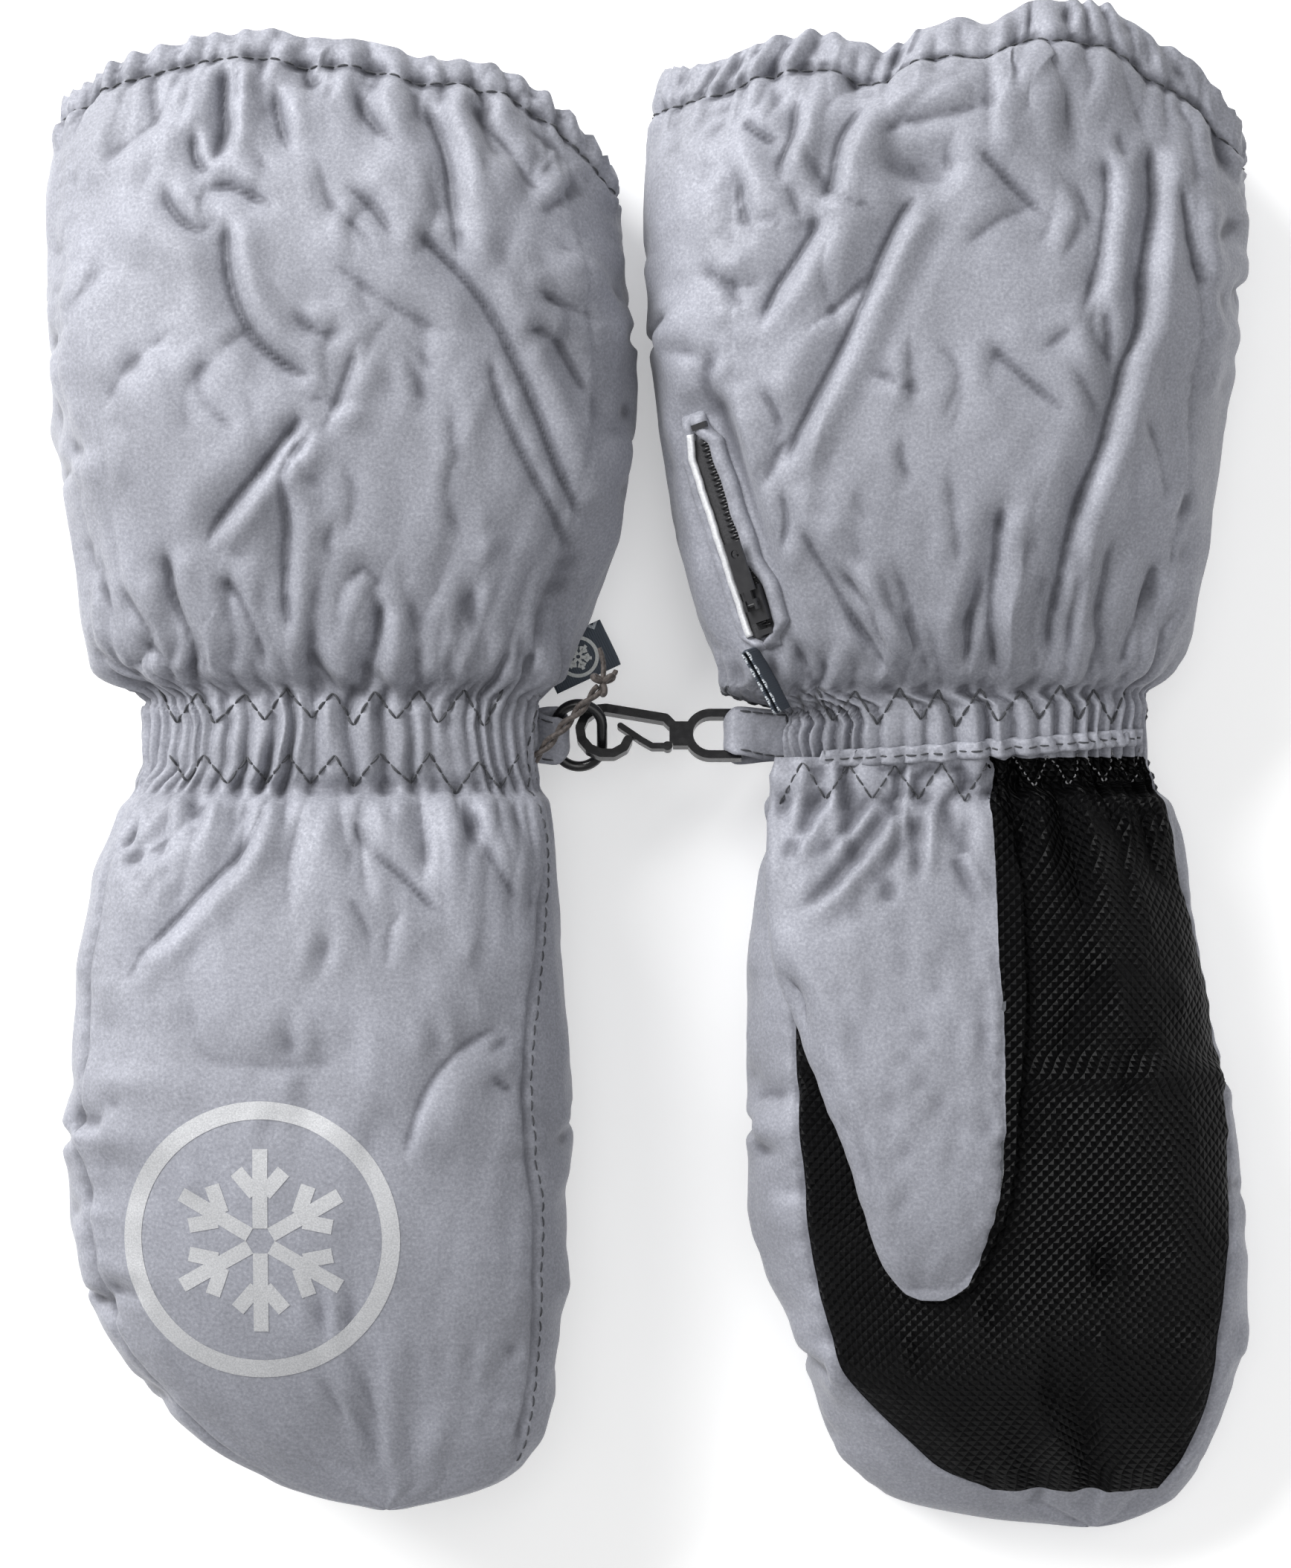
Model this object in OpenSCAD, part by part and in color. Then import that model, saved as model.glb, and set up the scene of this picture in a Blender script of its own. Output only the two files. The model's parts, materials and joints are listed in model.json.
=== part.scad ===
// A pair of long-cuff padded ski mittens joined at the wrists by a plastic snap hook and ring.
// Both mittens lie flat: the right one palm up, the left one back up.
// Frame: +Z up, +Y towards the cuff openings, X across the pair, origin on the resting plane.
// Each mitten is built palm up about its own wrist, thumb on the -X side, fingertips towards -Y.

/* [Pair] */
// Distance from the pair's centre line to the right mitten's centre line
right_x = 66; // [62:0.5:76]
// Distance from the pair's centre line to the left mitten's centre line
left_x = 64; // [62:0.5:76]
// Sideways lean of the right mitten's fingertips
right_lean = 7; // [0:0.5:10]
// Overall thickness of a mitten lying flat
lie_h = 48; // [46:1:56]

/* [Cuff] */
// Length of the cuff above the wrist
cuff_len = 155; // [130:1:160]
// Widest half-width of the cuff
cuff_hw = 61; // [54:0.5:62]
// Fabric thickness of the outer shell
shell_t = 0.8; // [0.6:0.1:1]
// Height of the gathered hem casing
hem_h = 11; // [8:0.5:14]

/* [Hand] */
// Length from the wrist seam to the fingertips
hand_len = 152; // [135:1:155]
// Widest half-width of the hand
hand_hw = 51; // [46:0.5:52]
// Thickness of the wadding
wad_t = 2.2; // [1.5:0.1:2.4]

/* [Wrist] */
// Half-width of the elasticated wrist
wrist_hw = 40; // [36:0.5:42]
// Height of the elasticated wrist band
wrist_h = 14; // [12:0.5:15]

/* [Clip] */
// Width of the strap that holds the clip
strap_w = 11; // [9:0.5:12]
// Radius of the ring's round bar
ring_r = 1.1; // [1:0.05:1.2]
// Thickness of the snap hook
hook_t = 2.4; // [2:0.1:2.4]

/* [Zip] */
// Length of the zip opening
zip_len = 42; // [40:1:50]

/* [Hidden] */
mid_x = -1.0707;  // X of the middle of the pair's bounding box
centre = [mid_x, (cuff_len - hand_len) / 2, 0];

// colours
fabric_grey = [0.58, 0.59, 0.63];
grip_black = [0.05, 0.05, 0.055];
wad_white = [0.9, 0.9, 0.88];
fleece_grey = [0.32, 0.33, 0.36];
elastic_white = [0.92, 0.92, 0.9];
plastic_black = [0.04, 0.04, 0.045];
silver = [0.8, 0.81, 0.83];
label_grey = [0.25, 0.28, 0.32];
cord_brown = [0.33, 0.28, 0.26];

PARTS = ["cuff_back_panel", "cuff_palm_panel", "cuff_side_panels", "cuff_lining",
  "hem_casing", "hem_elastic", "wrist_casing", "wrist_elastic", "wrist_strap",
  "zip_tapes", "zip_coil", "zip_stops", "zip_piping", "woven_label",
  "zip_slider", "zip_pull",
  "hand_back_panel", "side_gusset", "palm_grip_panel", "thumb_gore",
  "back_wadding", "palm_wadding", "hand_lining", "reflective_print",
  "thumb_back_panel", "thumb_grip_panel", "thumb_wadding", "thumb_lining"];

// ---------- shared helpers ----------
// one column of a table, interpolated by the table's first column
function station(at, table, column) = lookup(at, [for (row = table) [row[0], row[column]]]);
// from a at s = -1 to b at s = 1
function between(a, b, s) = (a * (1 - s) + b * (1 + s)) / 2;
// padded cross-section: 1 in the middle, 0 at s = -1 and 1
function crown(s, power) = pow(max(0, 1 - pow(abs(s), power)), 0.6);

// A solid between two depths of a curved patch point(u, v, depth), u and v from 0 to 1.
// With ring = true the patch closes on itself along u, and its faces wind the other way.
module slab(point, nu, nv, depths, ring = false) {
  columns = ring ? nu : nu + 1;
  layer = columns * (nv + 1);
  points = [for (d = depths, j = [0:nv], i = [0:columns - 1]) point(i / nu, j / nv, d)];
  function id(i, j, l) = l * layer + j * columns + i % columns;
  function quad(a, b, c, d) = ring ? [[a, c, b], [a, d, c]] : [[a, b, c], [a, c, d]];
  polyhedron(points = points, faces = [
    for (j = [0:nv - 1], i = [0:nu - 1])
      each quad(id(i, j, 0), id(i, j + 1, 0), id(i + 1, j + 1, 0), id(i + 1, j, 0)),
    for (j = [0:nv - 1], i = [0:nu - 1])
      each quad(id(i, j, 1), id(i + 1, j, 1), id(i + 1, j + 1, 1), id(i, j + 1, 1)),
    for (i = [0:nu - 1])
      each quad(id(i, 0, 0), id(i + 1, 0, 0), id(i + 1, 0, 1), id(i, 0, 1)),
    for (i = [0:nu - 1])
      each quad(id(i, nv, 0), id(i, nv, 1), id(i + 1, nv, 1), id(i + 1, nv, 0)),
    if (!ring) for (j = [0:nv - 1])
      each quad(id(0, j, 0), id(0, j, 1), id(0, j + 1, 1), id(0, j + 1, 0)),
    if (!ring) for (j = [0:nv - 1])
      each quad(id(nu, j, 0), id(nu, j + 1, 0), id(nu, j + 1, 1), id(nu, j, 1))
  ], convexity = 6);
}

// ---------- cuff surface ----------
// Tables of [height above the wrist, value], heights for a cuff 151 long.
cuff_scale = cuff_len / 151;
cuff_wide = cuff_hw / 61;
cuff_half_w = [[0, wrist_hw], [14, wrist_hw + 1], [19, 45 * cuff_wide], [28, 49.5 * cuff_wide],
  [42, 54 * cuff_wide], [60, 57.5 * cuff_wide], [80, 60 * cuff_wide], [100, 61 * cuff_wide],
  [118, 60.5 * cuff_wide], [132, 58 * cuff_wide], [141, 55.5 * cuff_wide], [151, 52 * cuff_wide]];
cuff_half_h = [[0, 13], [14, 14], [19, 16], [28, 19.5], [42, 22.3], [60, 24.8],
  [80, 25.2], [118, 25], [132, 20.5], [141, 17.5], [151, 15]];
cuff_mid_z = [[0, 21], [14, 22], [28, 24], [151, 24]];
cuff_mid_x = [[0, 0], [14, 0], [28, -1.5], [151, -2.5]];

// rows of a cuff piece: its two ends and the stations between them
function cuff_rows(y0, y1) = concat([y0],
  [for (s = cuff_half_w) let (y = s[0] * cuff_scale) if (y > y0 + 0.5 && y < y1 - 0.5) y], [y1]);
function squarish(v) = sign(v) * pow(abs(v), 0.86);
// the lying cuff's mouth bows: its corners sit lower in Y than its middle
function droop(a, t) = -12 * pow(max(0, (t - 70) / 81), 1.5) * pow(cos(a), 2);
// a point of the cuff's wall: angle a from the little-finger side over the palm,
// height y, depth d under the surface
function cuff_at(a, y, d) =
  let (t = y / cuff_scale,
       z = lookup(t, cuff_mid_z) + (lookup(t, cuff_half_h) - d) * squarish(sin(a)))
  [lookup(t, cuff_mid_x) + (lookup(t, cuff_half_w) - d) * squarish(cos(a)),
   y + droop(a, t),
   min(lie_h - d, max(d, z))];

// a piece of the cuff between two angles, two heights and two depths
module cuff_piece(angles, columns, heights, depths, ring = false) {
  rows = cuff_rows(heights[0], heights[1]);
  steps = len(rows) - 1;
  slab(function (u, v, d)
    cuff_at(angles[0] + (angles[1] - angles[0]) * u, rows[round(v * steps)], d),
    columns, steps, depths, ring);
}
module band(heights, depths) cuff_piece([0, 360], 24, heights, depths, ring = true);

// ---------- cuff pieces ----------
hem_y = cuff_len - hem_h;
panel_heights = [wrist_h + 0.6, hem_y];
shell_depths = [0, shell_t];
elastic_depths = [1.4, 2.6];
elastic_inset = 2;  // from the casing's edge to the elastic's

module cuff_panel(angles, columns) cuff_piece(angles, columns, panel_heights, shell_depths);
module cuff_back_panel() color(fabric_grey) cuff_panel([345, 195], 10);
module cuff_palm_panel() color(fabric_grey) cuff_panel([165, 15], 10);
// one panel on the little-finger side and one on the thumb side
module cuff_side_panels() color(fabric_grey)
  for (a = [0, 180]) cuff_panel([a + 14.9, a - 14.9], 2);
module cuff_lining() color(fleece_grey) band([2, cuff_len - 1.4], [3.4, 4.3]);
module hem_casing() color(fabric_grey) band([hem_y + 0.2, cuff_len], shell_depths);
module hem_elastic() color(elastic_white)
  band([hem_y + elastic_inset, cuff_len - elastic_inset], elastic_depths);
module wrist_casing() color(fabric_grey) band([0, wrist_h], shell_depths);
module wrist_elastic() color(elastic_white)
  band([elastic_inset, wrist_h - elastic_inset], elastic_depths);

// ---------- clip places ----------
hook_bar_x = 19.1;
ring_bar_x = -18.6;
clip_y = 8.2;   // Y of both strap bars
clip_z = 22;    // height of both strap bars

// ---------- wrist strap ----------
loop_in = 2.4;    // inner radius of the loop round the clip's bar
loop_t = 0.6;
loop_out = loop_in + loop_t;
neck_w = 5;       // strap width where it passes through the clip
shoulder = 2.6;   // from the bar's centre to the strap's wide part

// Two plies from the wrist to a loop round the clip's bar.
// side is -1 for a loop on the thumb side and 1 for the little-finger side.
module strap_loop(side, bar_x, bar_z) {
  seam_x = side * (wrist_hw + 1.6);
  shoulder_x = bar_x - side * shoulder;
  translate([0, clip_y, bar_z]) {
    for (z = [-loop_out, loop_in])
      translate([min(seam_x, shoulder_x), -strap_w / 2, z])
        cube([abs(shoulder_x - seam_x), strap_w, loop_t]);
    rotate([90, 0, 0]) translate([0, 0, -neck_w / 2]) linear_extrude(neck_w) difference() {
      union() {
        translate([bar_x, 0]) circle(r = loop_out, $fn = 48);
        translate([min(bar_x - side * 3, bar_x), -loop_out]) square([3, 2 * loop_out]);
      }
      translate([bar_x, 0]) circle(r = loop_in, $fn = 48);
      translate([min(bar_x - side * 3.1, bar_x), -loop_in]) square([3.1, 2 * loop_in]);
    }
  }
}
// band of the same fabric laid over the wrist casing on the palm side
module strap_band(side)
  slab(function (u, v, d) cuff_at((side < 0 ? 150 : 156) - 126 * u, 2 + 5 * v, d),
    10, 1, [-1.1, -0.3]);
module wrist_strap(side, bar_x, bar_z) {
  color(fabric_grey) strap_loop(side, bar_x, bar_z);
  color(fabric_grey) strap_band(side);
}

// ---------- zip, along +X in its own frame, outward +Z ----------
zip_place = [-40.7, 30.5, 38.4];
zip_turn = 108;
zip_tilt = -30;
tape_w = 4.5;
slider_x = 1.2;
slider_len = 7.5;
slider_w = 4.2;
pin_x = 3.7;      // the pull's pin, from the slider's end
pin_z = 3.8;
pull_w = 3.6;
pull_t = 0.7;

module on_zip() translate(zip_place) rotate([0, 0, zip_turn]) rotate([zip_tilt, 0, 0])
  translate([0, 0, 0.6]) children();
module zip_tapes() color(plastic_black) on_zip()
  for (y = [-0.2 - tape_w, 0.2]) translate([-2, y, 0.2]) cube([zip_len + 4, tape_w, 0.5]);
module zip_coil() color(plastic_black) on_zip()
  for (y = [-0.75, 0.75])
    translate([0, y, 1.35]) rotate([0, 90, 0]) cylinder(r = 0.6, h = zip_len, $fn = 24);
module zip_stops() color(plastic_black) on_zip()
  for (x = [-1.6, zip_len + 0.4]) translate([x, -1.6, 0.75]) cube([1.2, 3.2, 1.3]);
module zip_piping() color(silver) on_zip()
  translate([-1, 6.1, 0.9]) rotate([0, 90, 0]) cylinder(r = 1.0, h = zip_len + 3, $fn = 32);
module zip_slider() color(plastic_black) on_zip() translate([slider_x, 0, 0]) {
  translate([0, -slider_w / 2, 2.1]) cube([slider_len, slider_w, 0.7]);
  for (y = [-slider_w / 2, slider_w / 2 - 0.6]) translate([0, y, 0.8]) cube([slider_len, 0.6, 1.4]);
  // ears that hold the pull's pin
  difference() {
    for (y = [-1.5, 0.9]) translate([2.6, y, 2.7]) cube([2.2, 0.6, 1.9]);
    translate([pin_x, 0, pin_z]) rotate([90, 0, 0])
      cylinder(r = 0.45, h = 4, center = true, $fn = 24);
  }
}
module zip_pull() color(plastic_black) on_zip() translate([slider_x + pin_x, 0, pin_z]) {
  rotate([90, 0, 0]) cylinder(r = 0.4, h = 2.8, center = true, $fn = 24);
  translate([0, -0.75, -pull_t / 2]) cube([3, 1.5, pull_t]);
  translate([2.9, -pull_w / 2, -pull_t / 2]) difference() {
    cube([10.5, pull_w, pull_t]);
    translate([8, pull_w / 2, -1]) cylinder(r = 0.9, h = 3, $fn = 24);
  }
}

// ---------- woven label, a folded tab ----------
label_len = 14;
label_w = 10;
label_t = 0.45;
label_rise = 0.65;  // from one ply's underside to the other's

module label_tab() {
  cube([label_len, label_w, label_t]);
  translate([0, 0, label_rise]) cube([label_len, label_w, label_t]);
  translate([label_len + 0.05, 0, 0]) cube([0.5, label_w, label_rise + label_t]);
}
module woven_label(side) color(label_grey)
  translate(side < 0 ? [-36.9, 13.6, 37] : [45.5, 17, lie_h - 12])
    rotate([0, 0, side < 0 ? 116.6 : 25]) rotate([side < 0 ? 90 : 0, 0, 0]) label_tab();

// ---------- hand surface ----------
hand_top = -8.5;        // Y of the hand pieces' wrist ends
hand_tip = -hand_len;
hand_scale = hand_len / 147;
hand_wide = hand_hw / 51;
// [distance below the wrist, thumb-side X, little-finger-side X], for a hand 147 long
hand_outline = [[8, -42, 42], [20, -47 * hand_wide, 46 * hand_wide],
  [42, -50.5 * hand_wide, 49 * hand_wide], [74, -52 * hand_wide, 51 * hand_wide],
  [98, -51 * hand_wide, 51 * hand_wide], [112, -46 * hand_wide, 50 * hand_wide],
  [124, -37 * hand_wide, 48 * hand_wide], [134, -25 * hand_wide, 43 * hand_wide],
  [142, -12 * hand_wide, 34 * hand_wide], [147, 4, 22]];
// [distance below the wrist, height of the back's edge, height of the palm's edge]
hand_edges = [[8, 12, 28], [30, 9, 25], [110, 9, 23], [147, 8, 15]];
// [distance below the wrist, share of the full padding]
hand_swell = [[8, 0.8], [30, 1], [110, 1], [128, 0.72], [140, 0.4], [147, 0.12]];

function thumb_side(y) = station(-y / hand_scale, hand_outline, 1);
function finger_side(y) = station(-y / hand_scale, hand_outline, 2);
function back_edge(y) = station(-y / hand_scale, hand_edges, 1);
function palm_edge(y) = station(-y / hand_scale, hand_edges, 2);
function padding(x, y) =
  let (l = thumb_side(y), r = finger_side(y))
  lookup(-y / hand_scale, hand_swell) * crown((2 * x - l - r) / (r - l), 2.6);
function palm_z(x, y) = palm_edge(y) + 10.5 * padding(x, y);
function back_z(x, y) = back_edge(y) - 9.4 * padding(x, y);
// sideways shift at y of a hand whose fingertips lean by lean
function lean_shift(y, lean) = lean * max(0, -y - 8) / hand_len;

// A point of a hand panel, s from the thumb side (-1) to the little-finger side (1),
// d under the surface. face is 1 for the palm and -1 for the back.
function hand_at(face, s, y, d, inset, lean) =
  let (x = between(thumb_side(y) + inset, finger_side(y) - inset, s))
  [x + lean_shift(y, lean),
   y + (y < hand_tip + inset ? inset : 0),
   face > 0 ? palm_z(x, y) - d : max(d + 0.6, back_z(x, y) + d)];
// rows crowd together towards the fingertips
function hand_y(v) = hand_top + (hand_tip - hand_top) * (1 - pow(1 - v, 1.5));
// a panel of the first rows out of the ten that reach the fingertips
module hand_panel(face, lean, depths, inset = 0, rows = 10)
  slab(function (u, v, d)
    hand_at(face, face * sin(90 * (1 - 2 * u)), hand_y(v * rows / 10), d, inset, lean),
    10, rows, depths);

// ---------- hand pieces ----------
wad_depths = [shell_t + 0.8, shell_t + 0.8 + wad_t];
wad_inset = 5.4;
lining_depths = [shell_t + wad_t + 1.5, shell_t + wad_t + 2.2];

module palm_grip_panel(lean) color(grip_black) hand_panel(1, lean, shell_depths);
module hand_back_panel(lean) color(fabric_grey) hand_panel(-1, lean, shell_depths);
module palm_wadding(lean) color(wad_white) hand_panel(1, lean, wad_depths, wad_inset, 8);
module back_wadding(lean) color(wad_white) hand_panel(-1, lean, wad_depths, wad_inset, 8);
module hand_lining(lean) color(fleece_grey)
  for (face = [1, -1]) hand_panel(face, lean, lining_depths, 5.5, 8);

// The hand's rim, v from 0 to 1: down the thumb side, across the fingertips
// and up the little-finger side.
rim_side = 0.42;  // share of v along each side
rim_turn = 0.06;  // share of v at each side's end that eases into the fingertips
function rim(v, inset) =
  v < rim_side ?
    let (y = hand_top + (hand_tip - hand_top) * v / rim_side)
    [thumb_side(y) + inset, y + inset * max(0, v - rim_side + rim_turn) / rim_turn]
  : v > 1 - rim_side ?
    let (y = hand_tip + (hand_top - hand_tip) * (v - 1 + rim_side) / rim_side)
    [finger_side(y) - inset, y + inset * max(0, 1 - rim_side + rim_turn - v) / rim_turn]
  : let (w = (v - rim_side) / (1 - 2 * rim_side))
    [(thumb_side(hand_tip) + inset) * (1 - w) + (finger_side(hand_tip) - inset) * w,
     hand_tip + inset];
// boxing round the rim, in two strips that meet at the fingertips
module side_gusset(lean) color(fabric_grey)
  for (start = [0, 0.502])
    slab(function (u, v, d)
      let (p = rim(start + 0.498 * v, d),
           y = min(hand_top, max(hand_tip, p[1])),
           low = back_edge(y) + 1.1,
           high = palm_edge(y) - 1.1)
      [p[0] + lean_shift(p[1], lean), p[1], high + (low - high) * u],
      1, 19, shell_depths);

// base of the thumb, sewn over the palm between the wrist and the thumb's fold line
gore_outer_y = -46;  // lower end on the thumb side
gore_inner_y = -24;  // lower end towards the palm's middle
module thumb_gore(lean) color(fabric_grey)
  slab(function (u, v, d)
    let (w = 1 - u,
         end_y = gore_outer_y + (gore_inner_y - gore_outer_y) * w,
         start_y = hand_top - 0.5,
         y = start_y + (end_y - start_y) * v,
         x = between(thumb_side(y), finger_side(y), -0.97 + 1.1 * w),
         bulge = 9 * pow(v, 0.7) * pow(sin(180 * (0.12 + 0.76 * u)), 0.5),
         base = palm_z(x, y))
    [x + lean_shift(y, lean), y, d < 0.5 ? min(lie_h - 2.6, base + 1.6 + bulge) : base + 0.3],
    8, 6, [0, 1]);

// reflective print on the back: a ring in four arcs with a six-armed star, following the panel
print_c = [-12, -92];
print_r = 26;
print_ring_w = 4;
star_in = 3.4;
star_arm = 13;
star_w = 3;
module print_patch(lean, outline, nu)
  slab(function (u, v, d)
    let (p = outline(u, v))
    [p[0] + lean_shift(p[1], lean), p[1], max(0.6, back_z(p[0], p[1])) - d],
    nu, 1, [0.5, 0.35]);
module reflective_print(lean) color(silver) {
  for (i = [0:3])
    print_patch(lean, function (u, v)
      let (a = 90 * i + 89 * u)
      print_c + (print_r - print_ring_w * v) * [cos(a), -sin(a)], 6);
  for (i = [0:5])
    print_patch(lean, function (u, v)
      let (r = star_in + star_arm * u, w = (0.5 - v) * star_w, a = 60 * i + 30)
      print_c + [r * cos(a) - w * sin(a), r * sin(a) + w * cos(a)], 3);
}

// ---------- thumb ----------
// [step from the fold line to the tip, left edge X, left edge Y, right edge X, right edge Y]
thumb_edges = [[0, -38, -56, 6.5, -33], [0.25, -31.5, -68, 8, -52], [0.5, -26, -80, 7.5, -70],
  [0.75, -20.5, -93, 5, -88], [0.92, -16.5, -102, 1.5, -100], [1, -13.5, -106, -2, -105]];
// [step, share of the full padding]
thumb_swell = [[0, 0.85], [0.3, 1], [0.8, 0.8], [0.92, 0.5], [1, 0.15]];

// face is 1 for the upper face, the thumb's back, and -1 for the lower one, its grip
function thumb_at(face, s, v, d, inset) =
  let (t = 0.01 * inset + v * (1 - 0.0175 * inset),
       l = [station(t, thumb_edges, 1) + inset, station(t, thumb_edges, 2)],
       r = [station(t, thumb_edges, 3) - inset, station(t, thumb_edges, 4)],
       half = (r[0] - l[0]) / 2 + inset,
       p = between(l, r, s),
       pad = crown(s * (half - inset) / half, 2.4) * lookup(t, thumb_swell))
  [p[0], p[1], face > 0 ? min(lie_h - d, 42.2 + 5.8 * pad - d) : 40.8 - 5 * pad + d];
// a panel of the first rows out of the eight that reach the tip
module thumb_panel(face, lean, depths, inset = 0, rows = 8)
  slab(function (u, v, d)
    let (p = thumb_at(face, face * sin(90 * (1 - 2 * u)), v * rows / 8, d, inset))
    [p[0] + lean_shift(p[1], lean), p[1], p[2]],
    8, rows, depths);
module thumb_back_panel(lean) color(fabric_grey) thumb_panel(1, lean, [0, 0.6]);
module thumb_grip_panel(lean) color(grip_black) thumb_panel(-1, lean, [0, 0.6]);
module thumb_wadding(lean) color(wad_white)
  for (face = [1, -1]) thumb_panel(face, lean, [1.3, 2.3], 2.6, 6);
module thumb_lining(lean) color(fleece_grey)
  for (face = [1, -1]) thumb_panel(face, lean, [2.9, 3.3], 6, 5);

// ---------- one part of a mitten, palm up, its origin at the wrist on the resting plane ----------
module mitten(p, lean, side, bar_x, bar_z) {
  if (p == "cuff_back_panel") cuff_back_panel();
  if (p == "cuff_palm_panel") cuff_palm_panel();
  if (p == "cuff_side_panels") cuff_side_panels();
  if (p == "cuff_lining") cuff_lining();
  if (p == "hem_casing") hem_casing();
  if (p == "hem_elastic") hem_elastic();
  if (p == "wrist_casing") wrist_casing();
  if (p == "wrist_elastic") wrist_elastic();
  if (p == "wrist_strap") wrist_strap(side, bar_x, bar_z);
  if (p == "zip_tapes") zip_tapes();
  if (p == "zip_coil") zip_coil();
  if (p == "zip_stops") zip_stops();
  if (p == "zip_piping") zip_piping();
  if (p == "woven_label") woven_label(side);
  if (p == "zip_slider") zip_slider();
  if (p == "zip_pull") zip_pull();
  if (p == "hand_back_panel") hand_back_panel(lean);
  if (p == "side_gusset") side_gusset(lean);
  if (p == "palm_grip_panel") palm_grip_panel(lean);
  if (p == "thumb_gore") thumb_gore(lean);
  if (p == "back_wadding") back_wadding(lean);
  if (p == "palm_wadding") palm_wadding(lean);
  if (p == "hand_lining") hand_lining(lean);
  if (p == "reflective_print") reflective_print(lean);
  if (p == "thumb_back_panel") thumb_back_panel(lean);
  if (p == "thumb_grip_panel") thumb_grip_panel(lean);
  if (p == "thumb_wadding") thumb_wadding(lean);
  if (p == "thumb_lining") thumb_lining(lean);
}

// ---------- clip ----------
hook_tilt = -20;
ring_tilt = 25;
eye_x = 13.6;     // centre of the hook's round eye
eye_r = 5.5;
eye_hole_r = 3.7;
bar_end_w = 1.7;  // width of the two lugs at the strap bar's ends
gate_t = 1.8;
// centre lines [x, y] of the hook's crook and of its gate
crook = [[5.4, 2.2], [4.2, 3.5], [-8.2, 5.7], [-10.6, 5.4], [-12.6, 3.8], [-13.6, 1.4],
  [-13.2, -1.2], [-11.6, -3.2], [-9.2, -4.3], [-6.6, -4.3], [-4.4, -3], [-3.6, -1.3]];
gate = [[4.6, -2.6], [1.4, -2.6], [-0.9, -1.2], [-5.2, 1.9]];

module segment(p, q, w) translate(p) rotate(atan2(q[1] - p[1], q[0] - p[0]))
  translate([0, -w / 2]) square([norm(q - p), w]);
module path(points, w) {
  for (i = [0:len(points) - 2]) segment(points[i], points[i + 1], w);
  for (p = points) translate(p) rotate(7) circle(d = w, $fn = 12);
}
module on_hook() translate([0, clip_y, clip_z]) rotate([hook_tilt, 0, 0]) children();
module snap_hook() color(plastic_black) on_hook() {
  translate([0, 0, -hook_t / 2]) linear_extrude(hook_t) difference() {
    union() {
      path(crook, 1.9);
      translate([5, -2.7]) square([5.4, 5.4]);
      translate([eye_x, 0]) circle(r = eye_r, $fn = 64);
      translate([eye_x, -eye_r]) square([4.4, 2 * eye_r]);
    }
    translate([eye_x, 0]) circle(r = eye_hole_r, $fn = 64);
    translate([eye_x, -eye_hole_r]) square([4.6, 2 * eye_hole_r]);
    translate(gate[0]) circle(r = 1.15, $fn = 32);
  }
  translate([hook_bar_x, 0, 0]) rotate([90, 0, 0]) cylinder(r = 1, h = 9, center = true, $fn = 48);
  for (y = [-eye_r, eye_r - bar_end_w])
    translate([17.6, y, -hook_t / 2]) cube([2.3, bar_end_w, hook_t]);
}
module hook_gate() color(plastic_black) on_hook()
  translate([0, 0, -gate_t / 2]) linear_extrude(gate_t) {
    translate(gate[0]) circle(r = 1, $fn = 32);
    path(gate, 1.3);
  }

// ring of two straight bars along Y joined by half-round ends
ring_w = 4.8;  // half the distance between the bars' centres
ring_s = 4.6;  // length of the bars
module clip_ring() color(plastic_black)
  translate([ring_bar_x + ring_w, clip_y, clip_z]) rotate([ring_tilt, 0, 0]) {
    for (x = [-ring_w, ring_w])
      translate([x, 0, 0]) rotate([90, 0, 0])
        cylinder(r = ring_r, h = ring_s, center = true, $fn = 48);
    for (a = [0, 180])
      rotate([0, 0, a]) translate([0, ring_s / 2, 0])
        rotate_extrude(angle = 180, $fn = 64) translate([ring_w, 0]) circle(r = ring_r, $fn = 32);
  }

// cord from the left strap: two strands, a knot and one loose end
cord_r = 0.6;
module rod(p, q) {
  d = q - p;
  translate(p) rotate([0, acos(d[2] / norm(d)), atan2(d[1], d[0])])
    cylinder(r = cord_r, h = norm(d), $fn = 24);
}
module hang_cord() color(cord_brown) {
  for (shift = [[0, 0, 0], [1, -0.9, 0]]) rod([-23, 3.4, 30] + shift, [-9.6, 18.6, 31] + shift);
  translate([-8.6, 18.8, 31]) sphere(r = 1.9, $fn = 32);
  rod([-8.8, 20, 31], [-9.6, 26, 30.4]);
}

// ---------- nodes ----------
module right_mitten(p) translate([right_x, 0, 0] - centre)
  mitten(p, lean = right_lean, side = -1, bar_x = hook_bar_x - right_x, bar_z = clip_z);
// turned back up by mirroring
module left_mitten(p) translate([-left_x, 0, lie_h] - centre) mirror([0, 0, 1])
  mitten(p, lean = 0, side = 1, bar_x = ring_bar_x + left_x, bar_z = lie_h - clip_z);

for (p = PARTS) {
  right_mitten(p);
  left_mitten(p);
}
translate(-centre) snap_hook();
translate(-centre) hook_gate();
translate(-centre) clip_ring();
translate(-centre) hang_cord();
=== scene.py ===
"""A pair of padded ski mittens clipped together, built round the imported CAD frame.

Each mitten is modelled in its own millimetres: x across, y from the fingertips (negative) past
the wrist (near 0) to the hem (positive), z up with the palm up. to_world sets both in the row
frame in metres, the right mitten palm up and the left one turned palm down.
"""

import bpy
import json
from math import acos, cos, hypot, pi, radians, sin
import numpy as np
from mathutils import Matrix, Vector
from mathutils.bvhtree import BVHTree

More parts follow.
